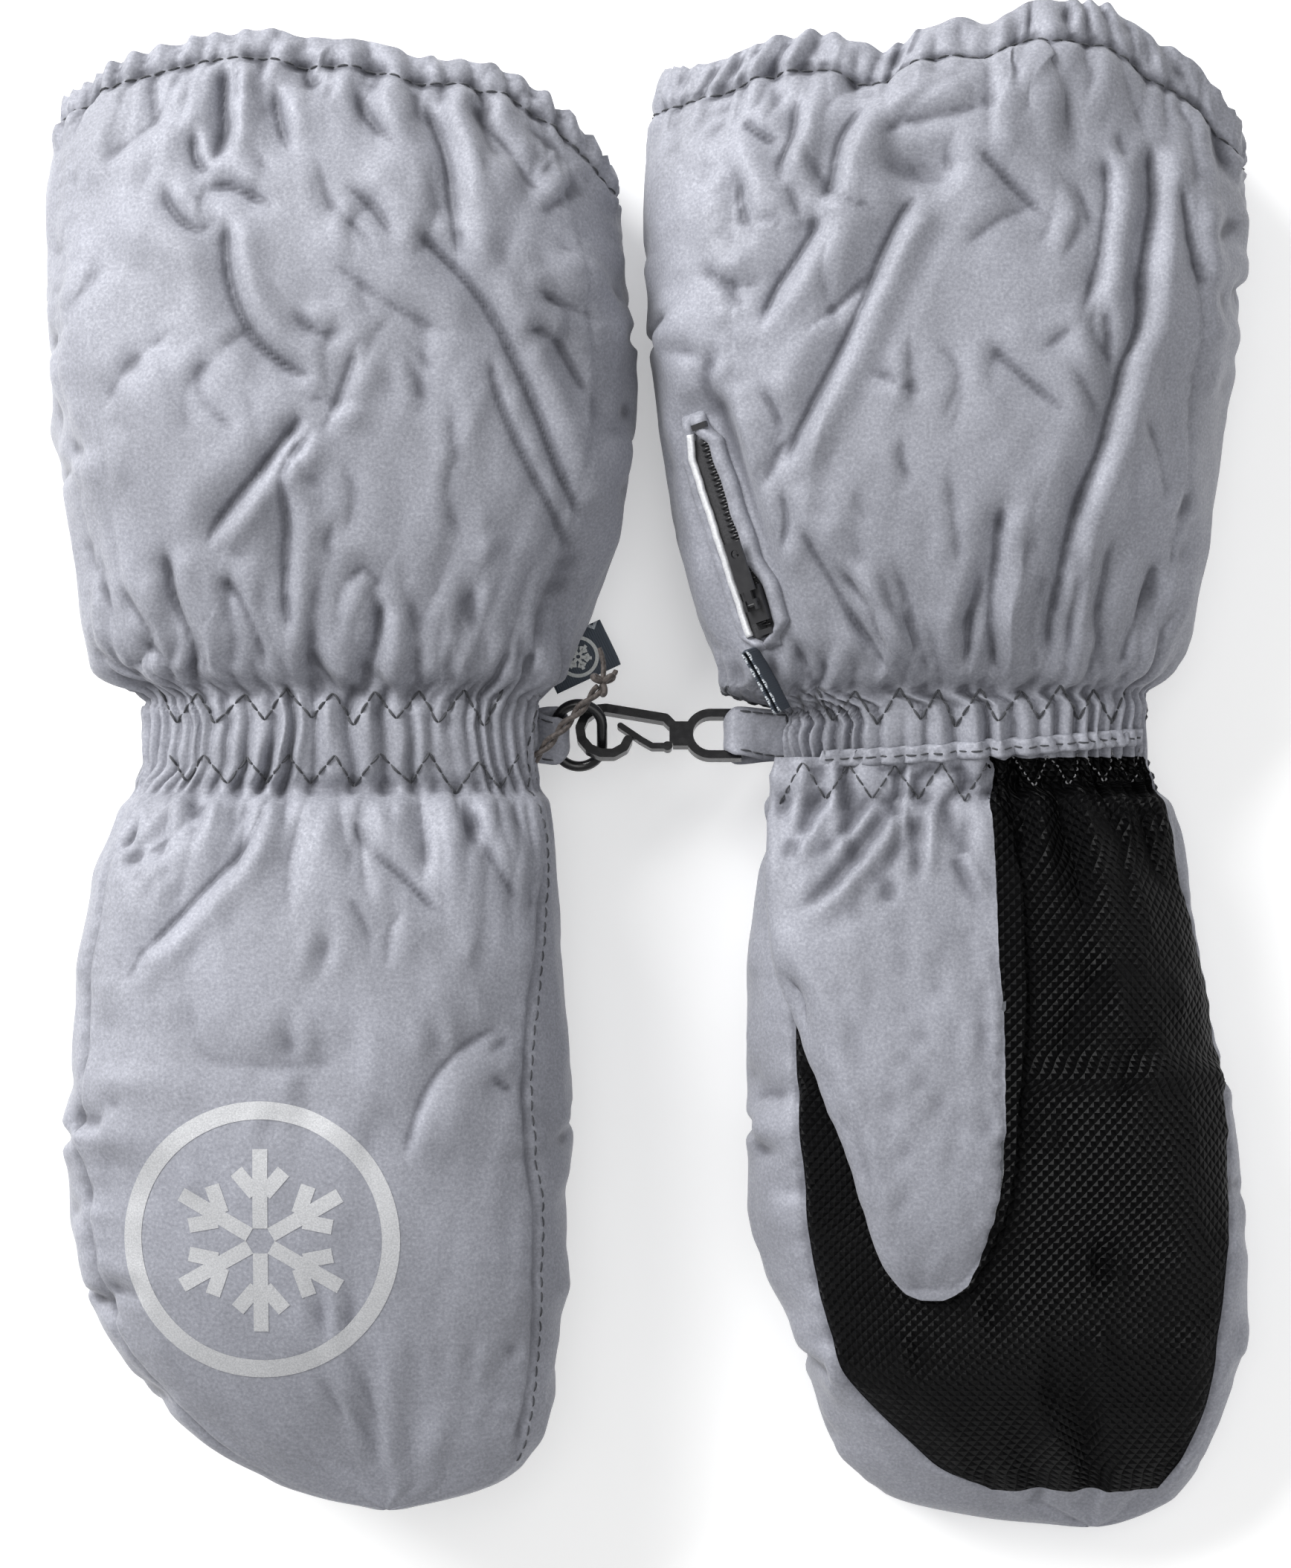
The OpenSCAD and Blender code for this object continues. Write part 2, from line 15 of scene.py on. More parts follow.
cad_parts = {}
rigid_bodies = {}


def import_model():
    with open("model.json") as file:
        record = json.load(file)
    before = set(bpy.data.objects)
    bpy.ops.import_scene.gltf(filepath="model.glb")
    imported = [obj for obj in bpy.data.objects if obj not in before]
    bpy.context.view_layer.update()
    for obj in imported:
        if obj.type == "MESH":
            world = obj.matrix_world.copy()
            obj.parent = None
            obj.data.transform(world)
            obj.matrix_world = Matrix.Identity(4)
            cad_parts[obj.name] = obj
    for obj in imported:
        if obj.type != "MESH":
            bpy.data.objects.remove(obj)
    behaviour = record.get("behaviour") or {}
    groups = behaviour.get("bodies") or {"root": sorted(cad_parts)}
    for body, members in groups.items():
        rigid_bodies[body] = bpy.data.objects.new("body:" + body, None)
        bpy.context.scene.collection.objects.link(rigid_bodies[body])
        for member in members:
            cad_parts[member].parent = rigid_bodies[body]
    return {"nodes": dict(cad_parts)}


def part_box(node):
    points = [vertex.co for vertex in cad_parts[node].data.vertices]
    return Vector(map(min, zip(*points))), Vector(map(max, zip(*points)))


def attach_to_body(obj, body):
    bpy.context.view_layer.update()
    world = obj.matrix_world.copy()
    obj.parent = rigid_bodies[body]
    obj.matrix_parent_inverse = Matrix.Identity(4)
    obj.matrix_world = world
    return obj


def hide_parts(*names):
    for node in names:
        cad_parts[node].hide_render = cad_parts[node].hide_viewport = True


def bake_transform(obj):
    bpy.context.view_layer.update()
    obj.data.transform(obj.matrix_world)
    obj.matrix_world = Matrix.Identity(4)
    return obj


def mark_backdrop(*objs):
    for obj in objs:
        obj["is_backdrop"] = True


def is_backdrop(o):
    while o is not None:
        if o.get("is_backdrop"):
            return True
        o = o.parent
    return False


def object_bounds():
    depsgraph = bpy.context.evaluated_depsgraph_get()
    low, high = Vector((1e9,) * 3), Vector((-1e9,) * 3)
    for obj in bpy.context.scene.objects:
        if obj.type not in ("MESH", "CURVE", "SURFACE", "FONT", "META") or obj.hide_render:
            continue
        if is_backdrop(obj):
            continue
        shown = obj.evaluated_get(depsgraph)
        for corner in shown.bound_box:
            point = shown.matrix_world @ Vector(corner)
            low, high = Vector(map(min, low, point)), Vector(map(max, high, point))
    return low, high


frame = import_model()
CAD_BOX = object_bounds()
THICK = 48.0  # the left mitten's z is turned over within this height


def wrist_place(side):
    """Middle x and lowest y of a mitten's wrist casing, in mm."""
    low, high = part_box(side + "_wrist_casing")
    return (low.x + high.x) * 500.0, low.y * 1000.0


WRIST_X = {side: wrist_place(side)[0] for side in ("right", "left")}
WRIST_Y = wrist_place("right")[1]


def to_world(side, points):
    """Local mm to the row frame in metres."""
    world = np.array(points, float)
    world[..., 0] += WRIST_X[side]
    world[..., 1] += WRIST_Y
    if side == "left":
        world[..., 2] = THICK - world[..., 2]
    return world / 1000.0


# ---------------------------------------------------------------- small maths
def table(text, columns=2):
    """Rows of numbers from text."""
    return np.array(text.split(), float).reshape(-1, columns)


def curve(stations):
    """Monotone cubic through (x, y) pairs."""
    stations = np.asarray(stations, float)
    x, y = stations[stations[:, 0].argsort()].T
    gap = np.diff(x)
    slope = np.diff(y) / gap
    product, total = slope[:-1] * slope[1:], slope[:-1] + slope[1:]
    tangent = np.zeros(len(x))
    tangent[1:-1] = np.where(product > 0, 2 * product / np.where(total == 0, 1, total), 0)
    tangent[0], tangent[-1] = slope[0], slope[-1]

    def value(place):
        place = np.clip(np.asarray(place, float), x[0], x[-1])
        k = np.clip(np.searchsorted(x, place) - 1, 0, len(x) - 2)
        t = (place - x[k]) / gap[k]
        return (
            (2 * t**3 - 3 * t**2 + 1) * y[k]
            + (t**3 - 2 * t**2 + t) * gap[k] * tangent[k]
            + (-2 * t**3 + 3 * t**2) * y[k + 1]
            + (t**3 - t**2) * gap[k] * tangent[k + 1]
        )

    return value


def smooth(start, end, x):
    t = np.clip((x - start) / (end - start), 0, 1)
    return t * t * (3 - 2 * t)


def bump(x, centre, width):
    return np.exp(-(((x - centre) / width) ** 2))


def spot(x, y, centre, size):
    """An oval bump, 1 at its centre."""
    return np.exp(-(((x - centre[0]) / size[0]) ** 2 + ((y - centre[1]) / size[1]) ** 2))


def unit(vectors):
    return vectors / np.maximum(np.linalg.norm(vectors, axis=-1, keepdims=True), 1e-9)


def tangents(path):
    return unit(np.gradient(path, axis=0))


def travelled(path):
    """Distance along a path at each of its points."""
    steps = np.linalg.norm(np.diff(path, axis=0), axis=1)
    return np.concatenate([[0], np.cumsum(steps)])


def signed_power(value, power):
    return np.sign(value) * np.abs(value) ** power


def averaged(values, reach):
    """Running mean over `reach` neighbours each way, weighted to the middle."""
    kernel = np.hanning(2 * reach + 1)
    return np.convolve(np.pad(values, reach, mode="edge"), kernel / kernel.sum(), mode="valid")


def nearest(values, value):
    return int(np.argmin(np.abs(values - value)))


class Noise:
    """Seeded smooth noise that repeats along x after `period`."""

    def __init__(self, seed):
        self.lattice = np.random.default_rng(seed).standard_normal((64, 64))

    def __call__(self, x, y, period=64):
        x, y = np.broadcast_arrays(np.asarray(x, float), np.asarray(y, float))
        i, j = np.floor(x).astype(int), np.floor(y).astype(int)
        u, v = (t * t * t * (t * (t * 6 - 15) + 10) for t in (x - i, y - j))

        def row(step):
            near = self.lattice[i % period, (j + step) % 64]
            return near * (1 - u) + self.lattice[(i + 1) % period, (j + step) % 64] * u

        return row(0) * (1 - v) + row(1) * v


def normals(grid):
    """Normals of a grid whose rows are closed rings."""
    around = np.roll(grid, -1, 1) - np.roll(grid, 1, 1)
    return unit(np.cross(around, np.gradient(grid, axis=0)))


def cubic(before, start, end, after, t):
    """Catmull-Rom between start and end."""
    return 0.5 * (
        2 * start
        + (end - before) * t
        + (2 * before - 5 * start + 4 * end - after) * t**2
        + (3 * start - before - 3 * end + after) * t**3
    )


def spline(values, steps, closed=False):
    """Cubic subdivision of an array along its first axis."""
    count = len(values)
    place = np.arange(0, count if closed else count - 1 + 1e-9, 1 / steps)
    i = np.minimum(place.astype(int), count - 1 if closed else count - 2)
    t = (place - i).reshape((-1,) + (1,) * (values.ndim - 1))
    if closed:
        return cubic(*(values[(i + k) % count] for k in (-1, 0, 1, 2)), t)
    longer = np.concatenate(
        [[2 * values[0] - values[1]], values, [2 * values[-1] - values[-2]]]
    )
    return cubic(longer[i], longer[i + 1], longer[i + 2], longer[np.minimum(i + 3, count + 1)], t)


# the depth found here is turned into painted shade by the shell material
def furrow_depth(grid, normal):
    """How far each point of a grid lies in a furrow, 0 to 1."""
    padded = np.concatenate([grid[:1]] * 2 + [grid] + [grid[-1:]] * 2)
    mean = (np.roll(grid, 3, 1) + np.roll(grid, -3, 1) + padded[4:] + padded[:-4]) / 4
    depth = np.clip((((mean - grid) * normal).sum(2) - 0.05) / 0.6, 0, 1)
    depth = (depth + np.roll(depth, 1, 1) + np.roll(depth, -1, 1)) / 3
    depth[:2], depth[-6:] = 0, 0
    return depth


def superellipse(left, right, mid, half, power, angle):
    """x, z and distance along an oval outline at the given angles."""
    centre, width = (left + right) / 2, (right - left) / 2
    x = centre + width * signed_power(np.cos(angle), power)
    z = mid + half * signed_power(np.sin(angle), power)
    return x, z, np.concatenate([[0], np.cumsum(np.hypot(np.diff(x), np.diff(z)))])


# ---------------------------------------------------------------- mesh making
def mesh_object(name, verts, faces, material, uv=None, shading=None, furrow=None):
    mesh = bpy.data.meshes.new(name)
    mesh.from_pydata([tuple(v) for v in verts], [], [tuple(int(k) for k in f) for f in faces])
    mesh.materials.append(material)
    mesh.polygons.foreach_set("use_smooth", np.full(len(mesh.polygons), True))
    if uv is not None:
        layer = mesh.uv_layers.new(name="UVMap")
        corners = np.zeros(len(mesh.loops), np.int32)
        mesh.loops.foreach_get("vertex_index", corners)
        layer.data.foreach_set("uv", np.asarray(uv, np.float32)[corners].ravel())
    # furrow: depth in a furrow, which the shell material turns into painted shade
    if furrow is not None:
        layer = mesh.attributes.new("furrow", "FLOAT", "POINT")
        layer.data.foreach_set("value", np.asarray(furrow, np.float32).ravel())
    mesh.update()
    if shading is not None:  # panels cut from one sheet shade as one sheet
        mesh.normals_split_custom_set_from_vertices([tuple(v) for v in shading])
    made = bpy.data.objects.new(name, mesh)
    bpy.context.scene.collection.objects.link(made)
    return made


def piece(name, side, points, faces, material, **layers):
    """A mesh from a mitten's local mm, or from world mm if side is None."""
    points = to_world(side, points) if side else points / 1000.0
    if side == "left":
        faces = [f[::-1] for f in faces]
    return mesh_object(name, points, faces, material, **layers)


def grid_faces(rows, columns, closed, flip=False):
    j, i = np.meshgrid(
        np.arange(rows - 1), np.arange(columns if closed else columns - 1), indexing="ij"
    )
    after = (i + 1) % columns
    below = (j + 1) * columns
    faces = np.stack([j * columns + i, j * columns + after, below + after, below + i], -1)
    faces = faces.reshape(-1, 4)
    return faces[:, ::-1] if flip else faces


def capped_faces(rows, sides):
    """Faces of a closed tube of rings with both ends shut."""
    faces = [tuple(f) for f in grid_faces(rows, sides, True)]
    faces.append(tuple(range(sides))[::-1])
    faces.append(tuple((rows - 1) * sides + k for k in range(sides)))
    return faces


def tube(path, radius, sides=8, closed=False):
    """Verts and faces of a round tube along a path. radius may be an array."""
    path = np.asarray(path, float)
    count = len(path)
    radius = np.broadcast_to(np.asarray(radius, float), (count,))[:, None, None]
    along = unit(np.roll(path, -1, 0) - np.roll(path, 1, 0)) if closed else tangents(path)
    aside = unit(np.cross(along[0], [0, 0, 1.0] if abs(along[0, 2]) < 0.9 else [1.0, 0, 0]))
    across = np.zeros_like(path)
    for k in range(count):
        aside = unit(aside - along[k] * (aside @ along[k]))
        across[k] = aside
    third = np.cross(along, across)
    angle = np.linspace(0, 2 * pi, sides, endpoint=False)[None, :, None]
    ring = np.cos(angle) * across[:, None] + np.sin(angle) * third[:, None]
    verts = (path[:, None] + radius * ring).reshape(-1, 3)
    if closed:
        total = count * sides
        return verts, [tuple(k % total for k in f) for f in grid_faces(count + 1, sides, True)]
    return verts, capped_faces(count, sides)


class Bag:
    """Many small parts gathered in one mesh."""

    def __init__(self):
        self.verts, self.faces, self.count = [], [], 0

    def add(self, verts, faces):
        self.verts.append(np.asarray(verts, float))
        self.faces += [tuple(k + self.count for k in f) for f in faces]
        self.count += len(verts)

    def stitch(self, path, normal, step=3.0, gap=0.5, radius=0.2, lift=0.1, seed=0):
        """Separate stitches along a path, each arched and dipping in at its ends."""
        path, normal = np.asarray(path, float), np.asarray(normal, float)
        along = travelled(path)
        count = max(1, int(round(along[-1] / step)))
        rng = np.random.default_rng(seed)
        arch = lift + 0.2 * np.sin(np.linspace(0, pi, 5)) - 0.25 * np.array([1, 0, 0, 0, 1])
        margin = 0.5 * gap / step
        for k in range(count):
            start, end = ((k + q) * along[-1] / count for q in (margin, 1 - margin))
            place = np.linspace(start, end, 5)
            points, outward = (
                np.stack([np.interp(place, along, source[:, i]) for i in range(3)], 1)
                for source in (path, normal)
            )
            points = points + outward * arch[:, None]
            points[1:4] += rng.normal(0, 0.03, 3)
            self.add(*tube(points, radius * np.array([0.75, 1, 1.05, 1, 0.75]), 6))

    def zigzag(self, xs, ys, surface, seed, samples=12, **thread):
        """Stitches through corner points laid on surface(x, y)."""
        t = np.linspace(0, 1, samples)
        for k in range(len(xs) - 1):
            path, normal = surface(xs[k] + (xs[k + 1] - xs[k]) * t, ys[k] + (ys[k + 1] - ys[k]) * t)
            if len(path) > 3:
                self.stitch(path, normal, seed=seed + k, **thread)

    def build(self, name, side, material):
        return piece(name, side, np.concatenate(self.verts), self.faces, material)


# ---------------------------------------------------------------- materials
PER_MM = 1000.0  # texture scales below are per mm


class Shader:
    """A material's nodes round one principled shader."""

    def __init__(self, name):
        self.material = bpy.data.materials.new(name)
        self.material.use_nodes = True
        self.tree = self.material.node_tree
        self.tree.nodes.clear()
        self.output = self.tree.nodes.new("ShaderNodeOutputMaterial")
        self.surface = self.node("BsdfPrincipled")
        self.feed(self.output.inputs["Surface"], self.surface.outputs[0])

    def feed(self, socket, value):
        """Link a socket, or set its value."""
        if isinstance(value, bpy.types.NodeSocket):
            self.tree.links.new(value, socket)
        else:
            socket.default_value = value

    def apply(self, node, settings):
        """Each setting is an input, with _ for a space in its name, or else a property."""
        for key, value in settings.items():
            label = key.replace("_", " ")
            if label in node.inputs:
                self.feed(node.inputs[label], value)
            else:
                setattr(node, key, value)

    def node(self, kind, **settings):
        made = self.tree.nodes.new("ShaderNode" + kind)
        self.apply(made, settings)
        return made

    def finish(self, **settings):
        self.apply(self.surface, settings)

    def numbered(self, kind, inputs, **settings):
        """A node whose inputs are set by number."""
        made = self.node(kind, **settings)
        for k, value in inputs.items():
            self.feed(made.inputs[k], value)
        return made

    def math(self, operation, *values):
        return self.numbered("Math", dict(enumerate(values)), operation=operation).outputs[0]

    def multiply(self, first, second):
        inputs = {0: 1.0, 6: first, 7: second}
        mix = self.numbered("Mix", inputs, data_type="RGBA", blend_type="MULTIPLY")
        return mix.outputs[2]

    def mapped(self, source, scale):
        return self.node("Mapping", Vector=source, Scale=scale).outputs[0]

    def coords(self, kind="Object", scale=PER_MM):
        return self.mapped(self.node("TexCoord").outputs[kind], (scale,) * 3)

    def ramp(self, source, stops):
        """Colour ramp through (place, colour or grey) stops."""
        made = self.node("ValToRGB")
        elements = made.color_ramp.elements
        while len(elements) < len(stops):
            elements.new(0.5)
        for element, (place, colour) in zip(elements, stops):
            element.position = place
            element.color = (*(colour if isinstance(colour, tuple) else (colour,) * 3), 1)
        self.feed(made.inputs[0], source)
        return made.outputs[0]

    def relief(self, height, strength, depth):
        bumps = self.node("Bump", Strength=strength, Distance=depth, Height=height)
        self.finish(Normal=bumps.outputs[0])


def shell_material():
    """Grey outer fabric: fine grain, slow clouding, and painted shade that darkens its furrows."""
    shader = Shader("shell_fabric")
    place = shader.coords()
    grain = shader.node("TexNoise", Scale=1.6, Detail=3.0, Roughness=0.6, Vector=place)
    cloud = shader.node("TexNoise", Scale=0.05, Detail=2.0, Vector=place)
    cells = shader.node("TexVoronoi", Scale=2.4, Vector=place)
    grey = [(0.3, (0.222, 0.228, 0.26)), (0.55, (0.288, 0.295, 0.333)), (0.75, (0.36, 0.368, 0.412))]
    tone = [(0.3, 0.86), (0.7, (1.04, 1.04, 1.045))]
    # dark: painted shade, the colour multiplied down to about a quarter in the deepest furrows
    dark = [(0.0, 1), (0.12, (0.88, 0.88, 0.885)), (0.35, (0.6, 0.6, 0.615)), (1.0, (0.24, 0.24, 0.26))]
    colour = shader.multiply(
        shader.ramp(grain.outputs["Fac"], grey), shader.ramp(cloud.outputs["Fac"], tone)
    )
    # the furrow attribute sets how much painted shade each point gets
    furrow = shader.node("Attribute", attribute_name="furrow")
    shader.finish(
        Base_Color=shader.multiply(colour, shader.ramp(furrow.outputs["Fac"], dark)),
        Roughness=shader.ramp(cells.outputs["Color"], [(0.0, 0.54), (1.0, 0.7)]),
        Metallic=0.14,
        Specular_IOR_Level=0.36,
        Sheen_Weight=0.12,
        Sheen_Roughness=0.5,
    )
    shader.relief(grain.outputs["Fac"], strength=0.32, depth=0.00012)
    return shader.material


def grip_material(pitch=2.3):
    """Black palm fabric with rows of small pyramids, `pitch` mm apart on the diagonals, with painted shade in
    the grooves between them.
    """
    shader = Shader("grip_fabric")
    math = shader.math
    flat = shader.node("SeparateXYZ", Vector=shader.coords("UV", 1.0))
    u, v = flat.outputs[0], flat.outputs[1]

    def off_centre(operation):
        """Distance from the middle of a cell along one diagonal."""
        diagonal = math("DIVIDE", math(operation, u, v), pitch)
        return math("ABSOLUTE", math("SUBTRACT", math("FRACT", diagonal), 0.5))

    widest = math("MAXIMUM", off_centre("ADD"), off_centre("SUBTRACT"))
    pyramid = math("SUBTRACT", 1.0, math("MULTIPLY", widest, 2.0))
    grain = shader.node("TexNoise", Scale=2.0, Detail=2.0, Vector=shader.coords())
    height = math("ADD", pyramid, math("MULTIPLY", grain.outputs["Fac"], 0.18))
    # painted shade: the black is darker in the grooves between the pyramids and lighter on their tops
    black_with_groove_shade = [(0.0, (0.0012, 0.0012, 0.0014)), (0.35, (0.002, 0.002, 0.0023)), (1.0, (0.005, 0.005, 0.0056))]
    shader.finish(
        Base_Color=shader.ramp(pyramid, black_with_groove_shade), Roughness=0.46, Specular_IOR_Level=0.1
    )
    shader.relief(height, strength=0.95, depth=0.0009)
    return shader.material


def cloth_material(
    name, dark, light, rough, scale, strength, depth=0.0001, sheen=0.2, metallic=0.0
):
    """Plain fabric or thread, mottled between two colours."""
    shader = Shader(name)
    noise = shader.node("TexNoise", Scale=scale, Detail=3.0, Vector=shader.coords()).outputs["Fac"]
    shader.finish(
        Base_Color=shader.ramp(noise, [(0.32, dark), (0.7, light)]),
        Roughness=rough,
        Sheen_Weight=sheen,
        Metallic=metallic,
    )
    shader.relief(noise, strength, depth)
    return shader.material


def label_material():
    """Dark woven label with one pale zigzag stripe."""
    shader = Shader("woven_label")
    math = shader.math
    place = shader.coords("UV", 1.0)
    flat = shader.node("SeparateXYZ", Vector=place)
    weave = shader.node("TexWave", Scale=1.3, Distortion=0.0, wave_profile="SIN")
    shader.apply(weave, {"Vector": shader.mapped(place, (0.5, 6.0, 1.0))})
    turn, offset, half = 1.6, 4.2, 0.45  # the stripe's zigzag, place and half-width, mm
    zigzag = math("PINGPONG", flat.outputs[0], turn)
    away = math("SUBTRACT", math("SUBTRACT", flat.outputs[1], zigzag), offset)
    stripe = math("LESS_THAN", math("ABSOLUTE", away), half)
    colours = {0: stripe, 6: (0.05, 0.062, 0.08, 1), 7: (0.42, 0.45, 0.48, 1)}
    mix = shader.numbered("Mix", colours, data_type="RGBA")
    shader.finish(Base_Color=mix.outputs[2], Roughness=0.75)
    shader.relief(weave.outputs["Fac"], strength=0.5, depth=0.0002)
    return shader.material


def hard_material(name, colour, rough, coat):
    shader = Shader(name)
    noise = shader.node("TexNoise", Scale=0.6, Detail=2.0, Vector=shader.coords()).outputs["Fac"]
    shader.finish(
        Roughness=shader.ramp(noise, [(0.3, rough - 0.06), (0.7, rough + 0.08)]),
        Base_Color=(*colour, 1),
        Coat_Weight=coat,
    )
    return shader.material


SHELL = shell_material()
GRIP = grip_material()
FLEECE = cloth_material(
    "fleece", (0.055, 0.06, 0.07), (0.12, 0.125, 0.14),
    rough=0.95, scale=0.9, strength=0.8, depth=0.0006, sheen=0.6,
)
THREAD = cloth_material(
    "dark_thread", (0.02, 0.022, 0.028), (0.05, 0.052, 0.06), rough=0.7, scale=3.0, strength=0.3
)
TAPE = cloth_material(
    "zip_tape", (0.012, 0.012, 0.014), (0.03, 0.03, 0.033),
    rough=0.8, scale=2.5, strength=0.6, depth=0.0002,
)
SILVER = cloth_material(
    "reflective_silver", (0.62, 0.63, 0.65), (0.8, 0.81, 0.83),
    rough=0.38, scale=2.2, strength=0.2, sheen=0.0, metallic=0.35,
)
THREAD_GREY = cloth_material(
    "grey_thread", (0.12, 0.12, 0.125), (0.22, 0.22, 0.23), rough=0.7, scale=3.0, strength=0.3
)
THREAD_PALE = cloth_material(
    "pale_thread", (0.42, 0.44, 0.43), (0.6, 0.61, 0.6),
    rough=0.75, scale=3.5, strength=0.6, depth=0.0002,
)
PRINT = cloth_material(
    "reflective_print", (0.4, 0.405, 0.42), (0.56, 0.565, 0.58),
    rough=0.5, scale=3.2, strength=0.35, sheen=0.0, metallic=0.3,
)
CORD = cloth_material(
    "waxed_cord", (0.03, 0.023, 0.02), (0.1, 0.082, 0.074),
    rough=0.6, scale=1.2, strength=0.9, depth=0.0004,
)
LABEL = label_material()
PLASTIC = hard_material("clip_plastic", (0.006, 0.006, 0.007), rough=0.24, coat=0.25)
METAL = hard_material("zip_metal", (0.02, 0.02, 0.022), rough=0.34, coat=0.3)

# ---------------------------------------------------------------- the mittens' measured forms
# outline seen from above, hem to fingertips: y, x of its left edge, x of its right edge
OUTLINE = {
    "right": table("""
        157 -53.5 49    152 -58 52      146 -62 56      140 -64 58      130 -65.8 58
        120 -66.4 58.6  100 -65.8 57.6  80 -64.1 55.8   65 -62.2 53.2   49.5 -59.5 51.1
        34 -55.4 48.3   26.5 -52.6 46.3 22 -51 43.8     18.8 -49.6 41   16.6 -47.4 39.2
        14.2 -40.5 38.7 10 -37.5 38.3   3 -37.5 38.8    -2 -39.5 40.5   -6 -40.8 43
        -12 -40.6 45.4  -20 -42.2 46.8  -27.4 -43.4 47.8  -42.8 -44.8 50.5  -58 -44.9 53.2
        -73.5 -44.5 56.9  -89 -44.6 58.5  -104 -40.8 59.5  -112 -37.1 59.8  -119.7 -33.5 59.2
        -127.4 -31 56.8  -135 -28.6 54.2  -142.8 -24.6 51  -147 -20.5 48.8  -150.5 -15.5 46
        -153.5 -7 42.5  -155.8 3 39     -157.2 14 35.5  -158 26 29""", 3),
    "left": table("""
        152 -52 47      146 -54.5 52    140 -56.5 54.5  130 -58.5 57    118 -60.5 58.6
        103 -59.7 60    80 -58.8 62.4   65 -56.6 61     49.5 -55.1 58.6 41.8 -54 56
        34.2 -53.1 53.1 26.5 -51.5 50   22 -49.5 48     18.5 -45.5 46   15 -40.8 42.6
        10 -39.8 41.8   3 -39.8 41.8    -2 -41.5 42.7   -6 -43.5 44     -12 -46.2 45.1
        -19.7 -49.4 45.8  -27.4 -50.9 46.3  -42.8 -53.2 47.1  -58.2 -53.7 48.5
        -73.5 -54.8 48.9  -89 -54.2 47.7  -104.3 -50.6 48.2  -112 -48.2 46.8
        -119.7 -43.1 45.8  -127.4 -36.2 45.2  -135 -28 42.9  -139.5 -21.5 40
        -142.8 -15.2 36.9  -145.8 -9 32  -148 -3 26     -149.6 4 19     -150.3 9 13""", 3),
}
# y and half the thickness
HALF = table("""158 12.5  150 15.5  140 19.5  120 23.6  80 24.4  60 24.2  42 22.8  28 20.5  20 17.6
    15 14  8 12.6  0 13  -6 15  -14 16.4  -40 17.6  -80 17.8  -110 16.2  -128 13  -142 9.6
    -150 6.6  -155 4  -158 1.6""")
# y and the height of the middle
MIDDLE = table("""158 25  80 24.2  40 23.6  20 22  8 21  -4 19.5  -14 18.3  -60 18.2  -110 17
    -140 13.5  -158 11""")
SQUARENESS = table("160 0.84  30 0.8  8 0.9  -20 0.74  -120 0.72  -158 0.8")  # y, outline power
# the four seams by number, in order round a section: the palm's right edge, the palm's left
# edge, the back's left edge and the back's right edge. Here y and distance in from the outline.
SEAM_INSET = [
    table("160 6  60 6  20 3.5  -20 1.2  -60 3  -90 3.8  -125 4.2  -150 4.5  -158 3"),
    table("160 8  60 7  28 8.8  10 3  -20 7  -55 9.5  -90 9  -120 5.5  -150 5  -158 3"),
    table("160 6  60 6  20 3  -20 3.5  -60 5  -125 5  -150 4.5  -158 3"),
    table("160 9  100 8.5  60 10  30 9  15 3.5  -15 3.5  -50 8  -90 6.5  -125 6  -150 4.5  -158 3"),
]
# seam number: y and the x it is moved to
SEAMS = {
    "right": {
        0: table("""160 46  60 44  20 37  7 35.5  0 37.5  -40 48.8  -81 54  -127 50.5
            -140 45.7  -150 38.6  -158 31"""),
        1: table("""160 -50  60 -50  20 -38  2 -33  -55 -36.4  -75 -35.1  -100 -32.9  -118 -29
            -129 -22.9  -138 -14.2  -145.3 -5.6  -149.6 6  -158 22"""),
    },
    "left": {
        0: table("160 42  60 50  20 38  0 36.5  -30 38  -81 41  -127 37  -140 32  -150 12"),
        1: table("""160 -50  60 -50  20 -38  2 -34  -55 -45  -90 -45  -115 -38  -129 -25
            -142 -8  -150 5"""),
        3: table("""152 44  110 50  80 53  49 49  26 42  16 40  0 38.5  -17 42.1  -51 39.4
            -67 38.4  -93 41.3  -120 40  -140 36  -148 20  -150 11"""),
    },
}
SEAM_SHIFT = 1.07  # added to every x in SEAMS
# the hem's edge seen from above: x, y
HEM_EDGE = {
    "left": table("""-53 140  -50 143  -45 146.5  -36 149  -24 151.5  -15 152  -5 149.5  8 149.5
        15 146  25 146  36 144  39 141  46 138  50 132  54 125  57 117"""),
    "right": table("""-50 147  -46 150  -30 152  -18 147  -10 152  -2 153  2 151  12 157  20 157
        28 157  33 154  38 150  45 148  50 143  54 137  58 128"""),
}
HEM_DEPTH = {"right": 8.4, "left": 5.6}  # from the edge to the stitch line
SAG = {"right": (14, 0), "left": (13, -3.6)}  # how far the hem curves and tilts

